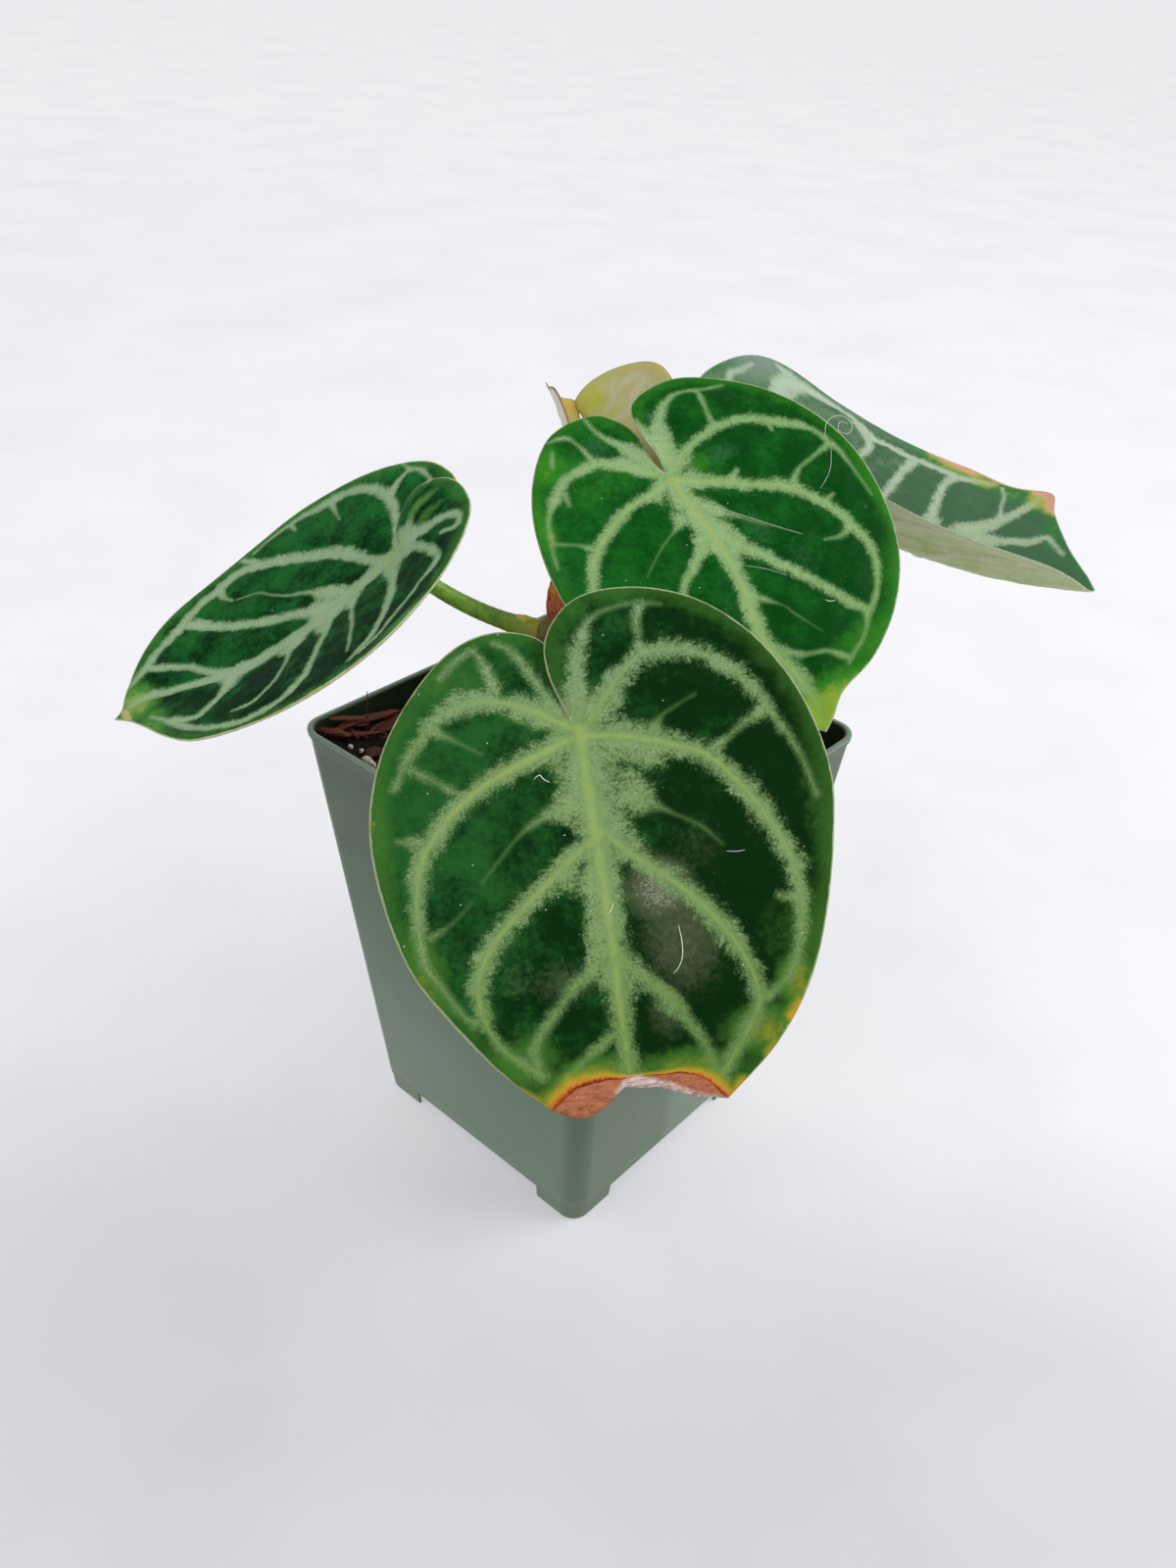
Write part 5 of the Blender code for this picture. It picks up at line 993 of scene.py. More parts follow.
# The colours of a leaf. Each leaf's own list changes some of the common ones.
BASE_TONES = {
    "cell": "082c0b", "cell_light": "225c26", "outer": "2c7420", "ripe": "98982e", "silver": "8ea670",
    "silver_dark": "648650", "silver_low": "789650", "silver_lobe": "90aa82", "core": "98b05c",
    "veinlet": "4c8a36", "margin": "b4bd94", "margin_dark": "7f9456", "dull_and_sheen": "434a3a",
    "dull_and_sheen_spots": "989c86", "feather": 1.0, "dust": 0.7, "rough": 0.45, "gloss": 0.03, "under": "a3b273",
    "under_light": "b3bd84", "under_dark": "8c9c60", "under_vein": "c5cba4",
}
LEAF_TONES = {
    "a": {"scorch": SCORCH_BROWN, "dust": 0.62, "outer": "44762a", "dull_and_sheen": "5a6548"},
    "b": {"cell": "03440d", "cell_light": "14641c", "outer": "34841f", "ripe": "8cac3a",
        "silver": "a0bc86", "silver_dark": "749a62", "silver_low": "92b070", "silver_lobe": "a2bc90",
        "dull_and_sheen": "3c6a48", "dull_and_sheen_spots": "86ab90", "feather": 0.75, "gloss": 0.05, "dust": 0.78,
        "veinlet": "4f9a34"},
    "c": {"cell": "052b0e", "cell_light": "1e662a", "outer": "4e8a3c", "ripe": "9cb45c",
        "silver": "a2ba94", "silver_dark": "84a478", "silver_low": "a6be9a", "silver_lobe": "a8c0a2",
        "dull_and_sheen": "12281a", "dull_and_sheen_spots": "5c6050", "feather": 0.6, "dust": 0.85, "margin": "c6caa2",
        "gloss": 0.015, "scorch": SCORCH_TAN, "veinlet": "6c9a68"},
    # Leaf d's greens are greyed: painted sheen, where its face is seen at a grazing angle.
    "d": {"cell": "46694a", "cell_light": "688868", "outer": "3a7840", "ripe": "a6ae4c",
        "silver": "b4c6aa", "silver_dark": "98ac90", "silver_low": "a6ba94", "silver_lobe": "b2c2b2",
        "dull_and_sheen": "83948a", "dull_and_sheen_spots": "96a69a", "feather": 0.75, "scorch": SCORCH_PINK, "core": "a4b694",
        "dust": 0.97, "veinlet": "a4b694", "under": "a4b472", "under_light": "b4be8a",
        "under_dark": "8a9a5c", "under_vein": "c6cba6", "margin": "c6ccb0"},
    "e": {"cell": "b2ae66", "cell_light": "bcb87a", "outer": "b8b848", "ripe": "acb42c",
        "silver": "c8c6a0", "silver_dark": "bab886", "silver_low": "c8c6a4", "silver_lobe": "c8c6a4",
        "core": "b2b83c", "veinlet": "b2b83c", "margin": "9a7850", "margin_dark": "b08c5c", "feather": 0.5,
        "dull_and_sheen": "bdb27a", "dull_and_sheen_spots": "c6bc90", "gloss": 0.35, "blush": (-4.5, 9, 6, 7.5),
        "blush_tone": "ccae48", "dust": 0.98, "under": "cfcab4", "under_light": "dad5c4",
        "under_dark": "bcb698", "under_vein": "d6d2b8"},
}


def make_leaves():
    """All the leaves, each with a material for its face, its underside and its edge."""
    for key, own in LEAF_TONES.items():
        tones = {**BASE_TONES, **own}
        materials = [leaf_top(f"velvet_{key}", tones), leaf_under(f"underside_{key}", tones)]
        materials.append(leaf_edge(f"margin_{key}", tones))
        make_leaf(key, materials, "new_leaf" if key == "e" else "leaf")


def bezier(a, b, c, d, count):
    """Points and directions along a Bezier curve."""
    t = np.linspace(0, 1, count)[:, None]
    points = (1 - t) ** 3 * a + 3 * t * (1 - t) ** 2 * b + 3 * t**2 * (1 - t) * c + t**3 * d
    ahead = (1 - t) ** 2 * (b - a) + 2 * t * (1 - t) * (c - b) + t**2 * (d - c)
    return points, ahead


def rings_along(path, ahead, radii, sides, swell=None):
    """Rings round a path. swell(angle) scales a ring's radius."""
    across = np.cross(ahead[0], (0.0, 0.0, 1.0))
    rings = []
    turn = np.linspace(0, 2 * np.pi, sides, endpoint=False)
    shape = np.ones(sides) if swell is None else swell(turn)
    for centre, way, radius in zip(path, ahead, radii):
        way = way / np.linalg.norm(way)
        across = across - way * (across @ way)
        across /= np.linalg.norm(across)
        up = np.cross(way, across)
        spokes = np.cos(turn)[:, None] * across + np.sin(turn)[:, None] * up
        rings.append(centre + radius * shape[:, None] * spokes)
    return rings


def skin(rings, first=0):
    """The points of rings of the same size, and the faces between them, with both ends closed.
    first is the number of the first point."""
    n = len(rings[0])
    count = n * len(rings)
    faces = [tuple(first + i for i in range(n))[::-1], tuple(first + count - n + i for i in range(n))]
    for r in range(len(rings) - 1):
        for i in range(n):
            j = (i + 1) % n
            a, b = first + r * n, first + (r + 1) * n
            faces.append((a + i, a + j, b + j, b + i))
    return np.vstack(rings), faces


def joined(parts):
    """The points and faces of several shapes, each of them a run of rings."""
    points, faces = np.zeros((0, 3)), []
    for rings in parts:
        more, more_faces = skin(rings, len(points))
        points = np.vstack([points, more])
        faces += more_faces
    return points, faces


def stub_line(stalk):
    """The root of a stalk's stub on the stem's axis, and its direction."""
    a = math.radians(stalk["aim"])
    way = np.array([math.cos(a), math.sin(a), stalk["rise"]])
    return np.array([*STEM_AT, stalk["height"]]), way / np.linalg.norm(way)


def make_petioles():
    """The stalks: each runs from its stub on the stem to the underside of its leaf."""
    skin_material, bud_material = stalk_material(), nub_material()
    for key, stalk in PETIOLES.items():
        leaf = LEAVES[key]
        root, way = stub_line(stalk)
        start = root + way * (STEM_RADIUS + STUB_LENGTH + SEAT_GAP)
        face = leaf_axes(leaf)[:, 2]
        low, high = stalk["radii"]
        end = np.array(leaf["joint"]) - face * 0.2
        turns = (start + way * stalk["runs_on"], end - face * stalk["turns_in"])
        path, ahead = bezier(start, *turns, end, STALK_STEPS)
        path = np.vstack([np.linspace(root + way * 3.0, start, NECK_STEPS, endpoint=False), path])
        ahead = np.vstack([np.repeat(way[None], NECK_STEPS, axis=0), ahead])
        t = np.concatenate([np.zeros(NECK_STEPS), np.linspace(0, 1, STALK_STEPS)])
        radii = low + (high - low) * t + 0.22 * high * np.exp(-(((t - 0.93) / 0.05) ** 2))
        radii = radii + (STUB_SWELL - 1) * low * np.exp(-((t / 0.12) ** 2))
        radii = radii * (1 + 0.012 * np.sin(np.arange(len(t)) * 1.7))
        radii[-3:] *= [1.02, 1.12, 1.3]
        points, faces = skin(rings_along(path, ahead, radii, STALK_SIDES, channel))
        numbers = [0] * len(faces)
        along = np.repeat(t, STALK_SIDES)
        if key == "c":
            bud, bud_faces = nub(start, way, len(points))
            points = np.vstack([points, bud])
            faces = faces + bud_faces
            numbers += [1] * len(bud_faces)
            along = np.concatenate([along, np.linspace(0, 1, len(bud))])
        materials = [skin_material, bud_material]
        obj = new_mesh(f"stalk_{key}", points, faces, materials, numbers, {"along": along})
        settle(obj, "stalk", f"petiole_{key}")


def channel(angle):
    """A stalk's radius is a little less along its upper side."""
    return 1 - 0.07 * np.exp(-(((angle - math.pi / 2) / 0.45) ** 2))


def ball(splits, radius, first):
    """The points and faces of a round ball of triangles. first is the number of the first point."""
    work = bmesh.new()
    bmesh.ops.create_icosphere(work, subdivisions=splits, radius=radius)
    points = np.array([v.co for v in work.verts])
    faces = [tuple(first + v.index for v in f.verts) for f in work.faces]
    work.free()
    return points, faces


def nub(start, way, first):
    """The bud on the upper side of the stalk, just out from the stem."""
    turn = Vector(way).to_track_quat("X", "Z").to_matrix()
    middle = Vector(start + way * NUB_ALONG) + turn @ Vector((0, 0, NUB_ABOVE))
    shape, faces = ball(4, 1.0, first)
    crease = 1 - 0.10 * np.exp(-(((shape[:, 0] - 0.25) / 0.12) ** 2)) + 0.03 * ripple(shape * 3, 2.0, 3)
    shape = shape * crease[:, None] * np.array(NUB_SIZE)
    return np.array([tuple(middle + turn @ Vector(p)) for p in shape]), faces


def stalk_material():
    """Fresh green, which turns yellow and then brown towards the stem."""
    s = Shade("stalk_green")
    at = s.place()
    along = s.attribute("along")
    lines = s.noise(at, 2.2, 4, 0.6)
    body = s.over("5c9422", "8cbc40", lines, 0.3, 0.7)
    body = s.over(body, "a4ac3c", along, 0.3, 0.0, 0.85)
    body = s.over(body, "c8963c", along, 0.05, 0.0, 0.5)
    body = s.over(body, "93a860", s.cells(at, 0.8), 0.22, 0.12, 0.25)
    normal = s.bump(s.add(lines, s.noise(at, 0.5, 3), 0.6), 0.04, 0.3)
    return s.finish(Base_Color=body, Roughness=0.38, Specular_IOR_Level=0.4, Normal=normal)


def nub_material():
    """The bud's yellow, with orange blotches."""
    s = Shade("bud_olive")
    at = s.place()
    body = s.over("ccbc3c", "ecd054", s.noise(at, 2.4, 3), 0.35, 0.65)
    body = s.over(body, "f0a848", s.noise(at, 0.9, 4), 0.55, 0.75, 0.6)
    return s.finish(Base_Color=body, Roughness=0.35, Normal=s.bump(s.noise(at, 0.6, 4), 0.08, 0.5))


def make_stem():
    """The short upright stem, ringed where old leaves fell, and a sheath round the foot of each stalk."""
    heights = np.linspace(SOIL_LEVEL - 6, STEM_TOP, STEM_RINGS)
    rings = []
    turn = np.linspace(0, 2 * np.pi, STEM_SIDES, endpoint=False)
    for z in heights:
        share = 1.0 + 0.05 * math.sin((z - SOIL_LEVEL) * 2 * math.pi / 3.6) * (z > SOIL_LEVEL + 1)
        top = (STEM_TOP - z) / 5
        share *= math.sqrt(max(0.06, 1 - max(0, 1 - top) ** 2))
        level = np.full(STEM_SIDES, z)
        at = np.stack([np.cos(turn) * 9, np.sin(turn) * 9, level], axis=1)
        r = STEM_RADIUS * share * (1 + 0.035 * ripple(at, 5.0, 21) + 0.02 * ripple(at, 1.8, 22))
        rings.append(np.stack([STEM_AT[0] + r * np.cos(turn), STEM_AT[1] + r * np.sin(turn), level], axis=1))
    points, faces = skin(rings)
    along = {"along": np.repeat(heights, STEM_SIDES)}
    settle(new_mesh("stem_bark", points, faces, [stem_material()], None, along), "stem", "stem")
    sheaths = []
    for stalk in PETIOLES.values():
        root, way = stub_line(stalk)
        shares = np.linspace(0.15, 0.98, SHEATH_RINGS)
        path = [root + way * share * (STEM_RADIUS + STUB_LENGTH) for share in shares]
        radii = stalk["radii"][0] * STUB_SWELL * np.linspace(1.35, 1.07, SHEATH_RINGS)
        radii = radii * (1 + 0.03 * np.sin(np.arange(SHEATH_RINGS) * 2.2))
        sheaths.append(rings_along(path, np.repeat(way[None], SHEATH_RINGS, axis=0), radii, SHEATH_SIDES))
    points, faces = joined(sheaths)
    points = points + 0.12 * ripple(points, 3.0, 31)[:, None]
    settle(new_mesh("stalk_sheaths", points, faces, [sheath_material()]), "stem", "stem")


def stem_material():
    """Brown bark with rings and fibres, greener towards its top."""
    s = Shade("stem_bark")
    at = s.place()
    rings = s.noise(s.stretch(at, (6, 6, 0.7)), 1, 4, 0.6)
    fibres = s.noise(s.stretch(at, (0.5, 0.5, 4)), 1, 4, 0.7)
    body = s.over("3a2213", "77512f", rings, 0.3, 0.7)
    body = s.over(body, "a07b4f", fibres, 0.5, 0.75, 0.6)
    body = s.over(body, "6d7a33", s.attribute("along"), 132, 150, 0.75)
    return s.finish(Base_Color=body, Roughness=0.8, Normal=s.bump(s.add(rings, fibres, 0.8), 0.35, 0.9))


def sheath_material():
    """Olive, with brown blotches."""
    s = Shade("stalk_sheath")
    at = s.place()
    fibres = s.noise(s.stretch(at, (2.5, 2.5, 0.5)), 1, 4, 0.7)
    body = s.over("6b6a25", "8a7436", fibres, 0.3, 0.7)
    body = s.over(body, "6e4526", s.noise(at, 2.2, 4), 0.52, 0.7, 0.7)
    return s.finish(Base_Color=body, Roughness=0.5, Normal=s.bump(fibres, 0.15, 0.7))


def make_dry_scale():
    """The dry scale leaf at the crown: a thin crumpled strip with a pointed top."""
    foot, top = np.array(SCALE_FOOT), np.array(SCALE_TOP)
    inward = np.array([STEM_AT[0] - foot[0], STEM_AT[1] - foot[1], 0.0])
    inward /= np.linalg.norm(inward)
    across = np.cross(inward, (0.0, 0.0, 1.0))
    rows, columns = 60, 32
    t, s = np.meshgrid(np.linspace(0, 1, rows), np.linspace(-0.5, 0.5, columns + 1), indexing="ij")
    t, s = t.ravel()[:, None], s.ravel()[:, None]
    width = SCALE_WIDTH * (0.75 + 0.9 * t - 1.62 * t**2)
    middle = foot + (top - foot) * t - inward * 1.5 * np.sin(np.pi * t)
    flat = np.hstack([s * width, t * 16])
    crumple = 0.5 * ripple(flat * (1, 0.35), 2.6, 41) + 0.2 * ripple(flat * (1, 0.5), 1.1, 42)
    sheet = middle + across * width * s + inward * (SCALE_CUP * (2 * s) ** 2 * (1 - t) + crumple[:, None])
    points = np.vstack([sheet + inward * SCALE_THICKNESS / 2, sheet - inward * SCALE_THICKNESS / 2])
    per = rows * (columns + 1)
    faces = []
    for i in range(rows - 1):
        for j in range(columns):
            a = i * (columns + 1) + j
            quad = (a, a + 1, a + columns + 2, a + columns + 1)
            faces += [quad, tuple(per + v for v in quad[::-1])]
    rim = list(range(columns + 1)) + [i * (columns + 1) + columns for i in range(1, rows)]
    rim += [(rows - 1) * (columns + 1) + j for j in range(columns - 1, -1, -1)]
    rim += [i * (columns + 1) for i in range(rows - 2, 0, -1)]
    faces += [(b, a, per + a, per + b) for a, b in zip(rim, rim[1:] + rim[:1])]
    values = {"flat": np.hstack([np.tile(flat, (2, 1)), np.zeros((2 * per, 1))])}
    obj = new_mesh("dry_scale", points, faces, [scale_material()], None, values)
    settle(obj, "stem", "stem")


def scale_material():
    """Red-brown papery tissue, orange at its top and streaked along its length."""
    s = Shade("dry_scale")
    flat = s.attribute("flat", "Vector")
    streaks = s.noise(s.stretch(flat, (0.6, 5, 1)), 1, 5, 0.65)
    blots = s.noise(s.stretch(flat, (1.2, 3.5, 1)), 1, 3)
    height = s.node("SeparateXYZ", {0: flat}).outputs["Y"]
    body = s.over("dc6848", "f29872", streaks, 0.3, 0.7)
    body = s.over(body, "ffa850", height, 9, 15, 0.9)
    body = s.over(body, "5c2418", blots, 0.56, 0.7, 0.85)
    body = s.over(body, "c59a86", streaks, 0.68, 0.82, 0.6)
    return s.finish(Base_Color=body, Roughness=0.55, Normal=s.bump(streaks, 0.2, 0.8))


def pot_half(z):
    """Half the pot's width at a height."""
    return (POT_BASE + (POT_TOP - POT_BASE) * z / POT_HEIGHT) / 2


def pot_radius(z):
    """The radius of the pot's corners at a height."""
    return POT_BASE_RADIUS + (POT_TOP_RADIUS - POT_BASE_RADIUS) * z / POT_HEIGHT


def pot_ring(z, inset):
    """A ring of the pot's wall, anticlockwise: a square with round corners, inset from its outer face."""
    half = pot_half(z) - inset
    radius = max(pot_radius(z) - inset, 1.0)
    ring = []
    for corner in range(4):
        middle = math.radians(45 + 90 * corner)
        cx = math.copysign(half - radius, math.cos(middle))
        cy = math.copysign(half - radius, math.sin(middle))
        for i in range(CORNER_STEPS + 1):
            a = math.radians(90 * corner + 90 * i / CORNER_STEPS)
            ring.append((cx + radius * math.cos(a), cy + radius * math.sin(a), z))
    return np.array(ring)


def cutter(name, rings):
    """A shape that is only there to be cut from another."""
    obj = new_mesh(name, *skin(rings), [])
    obj.hide_render = True
    return obj


def notch(name, x, y):
    """A block across the pot's foot that reaches x and y to either side of its middle."""
    ring = [(-x, -y), (x, -y), (x, y), (-x, y)]
    return cutter(name, [np.array([(a, b, z) for a, b in ring]) for z in (-CUT_MARGIN, FOOT_HEIGHT)])


def make_pot():
    """The pot: a tapered square shell with a small lip, four corner feet and holes in its floor."""
    lip_foot = POT_HEIGHT - POT_LIP_HEIGHT
    floor_top = FLOOR_UNDERSIDE + FLOOR_THICKNESS
    under = [(FLOOR_UNDERSIDE, POT_WALL), (0.25, POT_WALL), (0.0, POT_WALL - 0.3)]
    outer = [(0.0, 0.9), (0.25, 0.45), (0.8, 0.25), (FOOT_HEIGHT - 0.4, 0.3), (FOOT_HEIGHT, 0.0)]
    outer += [(z, 0.0) for z in np.linspace(10, 120, 12)]
    outer += [(lip_foot - 0.5, 0.0), (lip_foot - 0.1, -0.12), (lip_foot + 0.1, -POT_LIP + 0.1)]
    outer += [(lip_foot + 0.4, -POT_LIP), (POT_HEIGHT - 0.5, -POT_LIP)]
    outer += [(POT_HEIGHT - 0.15, -POT_LIP + 0.12), (POT_HEIGHT, -POT_LIP + 0.5)]
    inner = [(POT_HEIGHT, POT_WALL - 0.4), (POT_HEIGHT - 0.3, POT_WALL)]
    inner += [(z, POT_WALL) for z in (120, 110, 90, 60, 30, floor_top)]
    rings = [pot_ring(z, inset) for z, inset in under + outer + inner]
    # The inside is the same plastic with its colours cut to 0.22 of the outside's: painted shade.
    materials = [pot_material("pot_outside", 1.0), pot_material("pot_inside", 0.22)]
    pot = new_mesh("nursery_pot", *skin(rings), materials)
    first_inner = (len(under) + len(outer)) * len(rings[0])
    for polygon in pot.data.polygons:
        polygon.material_index = int(min(polygon.vertices) >= first_inner)
    reach, wide = pot_half(0) - FOOT_LENGTH, 2 * POT_BASE
    groups = [[notch("notch_x", wide, reach)], [notch("notch_y", reach, wide)]]
    turn = np.linspace(0, 2 * np.pi, DRAIN_SIDES, endpoint=False)
    ring = DRAIN_DIAMETER / 2 * np.column_stack([np.cos(turn), np.sin(turn), np.zeros(DRAIN_SIDES)])
    levels = (FLOOR_UNDERSIDE - CUT_MARGIN, floor_top + CUT_MARGIN)
    for x in (-DRAIN_OFFSET, 0, DRAIN_OFFSET):
        for y in (-DRAIN_OFFSET, 0, DRAIN_OFFSET):
            if (x == 0) == (y == 0):
                groups[1].append(cutter("drain", [ring + (x, y, z) for z in levels]))
    for group in groups:
        carve(pot, group)
    pot.data.shade_smooth()
    pot.data.set_sharp_from_angle(angle=math.radians(38))
    settle(pot, "pot", "pot")


def carve(obj, cutters):
    """Cuts the cutters from the object, for good, and removes them."""
    group = bpy.data.collections.new("cutters")
    bpy.context.scene.collection.children.link(group)
    for item in cutters:
        bpy.context.scene.collection.objects.unlink(item)
        group.objects.link(item)
    modifier = obj.modifiers.new("carve", "BOOLEAN")
    modifier.operand_type = "COLLECTION"
    modifier.collection = group
    modifier.operation = "DIFFERENCE"
    modifier.solver = "EXACT"
    bpy.context.view_layer.update()
    made = bpy.data.meshes.new_from_object(obj.evaluated_get(bpy.context.evaluated_depsgraph_get()))
    obj.modifiers.clear()
    obj.data = made
    for item in cutters:
        bpy.data.objects.remove(item, do_unlink=True)
    bpy.data.collections.remove(group)


def pot_material(name, bright):
    """Thin moulded plastic, slightly uneven and scuffed, with a painted reflection of the pale floor low
    down, a painted shadow of the leaves near its top, darker towards its corners, and a painted highlight
    along its rim."""
    s = Shade(name)
    at = s.place()
    cloud = s.noise(at, 26, 3)
    scuffs = s.noise(s.stretch(at, (9, 9, 0.8)), 1, 5, 0.7, 1.2)
    low, high = [tuple(c * bright for c in colour(code)[:3]) + (1.0,) for code in ("3c573a", "4a6647")]
    split = s.node("SeparateXYZ", {0: at}).outputs
    high_up = s.plus(split["Z"], (cloud, 20))
    inward = s.math("MINIMUM", s.math("ABSOLUTE", split["X"]), s.math("ABSOLUTE", split["Y"]))
    slant = (POT_TOP - POT_BASE) / 2 / POT_HEIGHT
    inward = s.math("SUBTRACT", inward, s.math("MULTIPLY", split["Z"], slant))
    body = s.over(low, high, cloud, 0.35, 0.65)
    body = s.over(body, "93a596", scuffs, 0.62, 0.8, 0.2 * bright)
    # Paler low down: a painted reflection of the pale floor.
    body = s.over(body, "8a9c8a", high_up, 95, 15, 0.42 * bright)
    # Darker near the top: a painted shadow of the leaves above.
    body = s.over(body, "26382a", high_up, 104, 122, 0.4 * bright)
    body = s.over(body, "3a5430", inward, 31, 37, 0.5 * bright)
    # A pale line along the top of the rim: a painted highlight.
    body = s.over(body, "a2b2aa", split["Z"], POT_HEIGHT - 0.7, POT_HEIGHT - 0.3, 0.6 * bright)
    rough = s.smooth(cloud, 0.3, 0.7, 0.3, 0.4)
    normal = s.bump(s.noise(at, 14, 2), 0.35, 0.5, s.bump(s.noise(at, 0.45, 3, 0.6), 0.02, 0.6))
    return s.finish(Base_Color=body, Roughness=rough, Specular_IOR_Level=0.42, Normal=normal)


def soil_height(x, y):
    """The top of the mix: level, heaped against the left-hand corner, with low lumps."""
    corner = np.hypot(x + POT_TOP / 2, y + POT_TOP / 2)
    lumps = np.sin(x / 7.3 + 1.1) * np.cos(y / 6.1) + 0.6 * np.sin((x + y) / 4.7)
    return SOIL_LEVEL + SOIL_HEAP * np.exp(-((corner / SOIL_HEAP_REACH) ** 2)) + lumps * 0.9


def make_soil():
    """The bed of fine dark crumbs that the shreds lie in."""
    inset = POT_WALL + 0.1
    half = pot_half(SOIL_LEVEL) - inset
    steps = np.linspace(-1, 1, MIX_STEPS)
    u, v = np.meshgrid(steps, steps, indexing="ij")
    pinch = 1 - pot_radius(SOIL_LEVEL) / half * 0.3 * v**8 * u**8
    x, y = (half * u * pinch).ravel(), (half * v * pinch).ravel()
    flat = np.stack([x, y], axis=1)
    z = soil_height(x, y) - 0.6
    for size, length, seed in ((0.7, 5, 51), (0.5, 2.2, 52), (0.3, 1.3, 53)):
        z = z + size * ripple(flat, length, seed)
    at = np.arange(MIX_STEPS**2).reshape(MIX_STEPS, MIX_STEPS)
    quads = np.stack([at[:-1, :-1], at[1:, :-1], at[1:, 1:], at[:-1, 1:]], axis=-1)
    rim = [*at[:, 0], *at[-1, 1:], *at[-2::-1, -1], *at[0, -2:0:-1]]
    floor = FLOOR_UNDERSIDE + FLOOR_THICKNESS + 0.1
    shrink = (pot_half(floor) - inset) / half
    top = np.stack([x, y, z], axis=1)
    low = np.stack([x[rim] * shrink, y[rim] * shrink, np.full(len(rim), floor)], axis=1)
    under = list(range(len(top), len(top) + len(rim)))
    walls = zip(rim, under, under[1:] + under[:1], rim[1:] + rim[:1])
    faces = [*quads.reshape(-1, 4), *walls, under[::-1]]
    obj = new_mesh("mix_bed", np.vstack([top, low]), faces, [bed_material()])
    settle(obj, "potting_mix", "soil")


def bed_material():
    """Nearly black crumbs with a few brown ones."""
    s = Shade("mix_bed")
    at = s.place()
    grit = s.noise(at, 0.9, 5, 0.75)
    body = s.over("0d0705", "2c150d", grit, 0.35, 0.72)
    body = s.over(body, "4a2a1a", s.noise(at, 0.5, 3), 0.66, 0.74, 0.6)
    return s.finish(Base_Color=body, Roughness=0.85, Specular_IOR_Level=0.3, Normal=s.bump(grit, 0.5, 1.0))


def shred(place, length, width, thick, bend, rng):
    """A torn shred of bark: a tapered bar, bowed and split at its ends."""
    ring = np.linspace(0, 2 * np.pi, SHRED_SIDES, endpoint=False) + 0.39
    sides = np.stack([np.cos(ring), np.sin(ring)], axis=1) * 0.62
    points = []
    phase = rng.uniform(0, 6.3)
    for i in range(SHRED_ROWS):
        t = i / (SHRED_ROWS - 1) - 0.5
        taper = (1 - (2 * abs(t)) ** 3) * 0.75 + 0.22
        rough = 1 + rng.uniform(-0.22, 0.22, SHRED_SIDES)
        across = sides[:, 0] * width * taper * rough
        up = sides[:, 1] * thick * taper * rough - bend * (2 * t) ** 2
        sway = 0.12 * width * math.sin(phase + 5 * t)
        share = 1 if i in (0, SHRED_ROWS - 1) else 0.2
        ragged = rng.uniform(-0.05, 0.05, SHRED_SIDES) * length * share
        points.append(np.stack([t * length + ragged, across + sway, up], axis=1))
    turn = np.array(place.to_3x3())
    return [ring @ turn.T + np.array(place.translation) for ring in points]


def from_stem(x, y):
    """How far a place in the pot is from the middle of the stem."""
    return math.hypot(x - STEM_AT[0], y - STEM_AT[1])


def thrown(rng, half, length, margin):
    """A place and a turn, drawn so that a shred of this length keeps off the pot's wall."""
    turn = rng.uniform(0, math.pi)
    x = rng.uniform(-1, 1) * (half - abs(length / 2 * math.cos(turn)) - margin)
    y = rng.uniform(-1, 1) * (half - abs(length / 2 * math.sin(turn)) - margin)
    return x, y, turn


def chip_places():
    """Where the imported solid's shreds lie: the same draws in the same order."""
    rng = np.random.default_rng(SOIL_SEED)
    half = pot_half(SOIL_LEVEL) - POT_WALL - SEAT_GAP - 1.2
    found = []
    for _ in range(CHIP_COUNT):
        length, width, thick = rng.uniform(8, 19), rng.uniform(2.6, 4.6), rng.uniform(1.8, 3.0)
        x, y, turn = thrown(rng, half, length, width)
        if from_stem(x, y) < STEM_RADIUS + length / 2 + 3.5:
            continue
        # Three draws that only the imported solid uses.
        rng.uniform(-0.25, 0.25, 3)
        tilt, roll = rng.uniform(-0.10, 0.10), rng.uniform(-0.5, 0.5)
        found.append((x, y, 0.1 * thick, turn, tilt, roll, length, width, thick))
    return found


def loose_places(rng):
    """More shreds, smaller and thinner, thrown over the bed."""
    half = pot_half(SOIL_LEVEL) - POT_WALL - 1.0
    found = []
    for number in range(LOOSE_COUNT):
        length = rng.uniform(3, 10) if number % 5 else rng.uniform(10, 20)
        width, thick = rng.uniform(0.7, 2.6), rng.uniform(0.5, 1.3)
        x, y, turn = thrown(rng, half, length, width / 2)
        if from_stem(x, y) < STEM_RADIUS + 0.35 * length + 1.5:
            continue
        tilt, roll = rng.uniform(-0.22, 0.22), rng.uniform(-0.9, 0.9)
        found.append((x, y, rng.uniform(0.2, 1.6), turn, tilt, roll, length, width, thick))
    return found


# The long shreds that show beside the front leaf, where the mix is heaped: the place of each, its height
# over the mix, its turn, tilt and roll, and its length, width and thickness.
CORNER_SHREDS = [
    (-46.0, -33.0, 2.4, 1.47, 0.06, 0.3, 21.0, 2.0, 1.1),
    (-43.4, -26.5, 2.6, 1.22, -0.08, 0.5, 19.0, 2.9, 1.6),
    (-40.8, -19.0, 2.4, 1.75, 0.10, -0.3, 18.0, 3.2, 1.8),
    (-45.4, -13.0, 2.6, 1.45, -0.05, 0.2, 19.0, 2.6, 1.5),
    (-45.6, -44.5, 1.4, 0.55, 0.10, 0.4, 9.0, 1.7, 0.9),
    (-41.5, -40.0, 1.0, 0.95, 0.0, -0.2, 13.0, 1.5, 0.9),
    (-37.5, -31.0, 1.2, 2.1, 0.05, 0.3, 12.0, 2.3, 1.2),
    (-46.6, -38.5, 2.8, 1.2, 0.16, 0.0, 10.0, 1.5, 0.8),
]


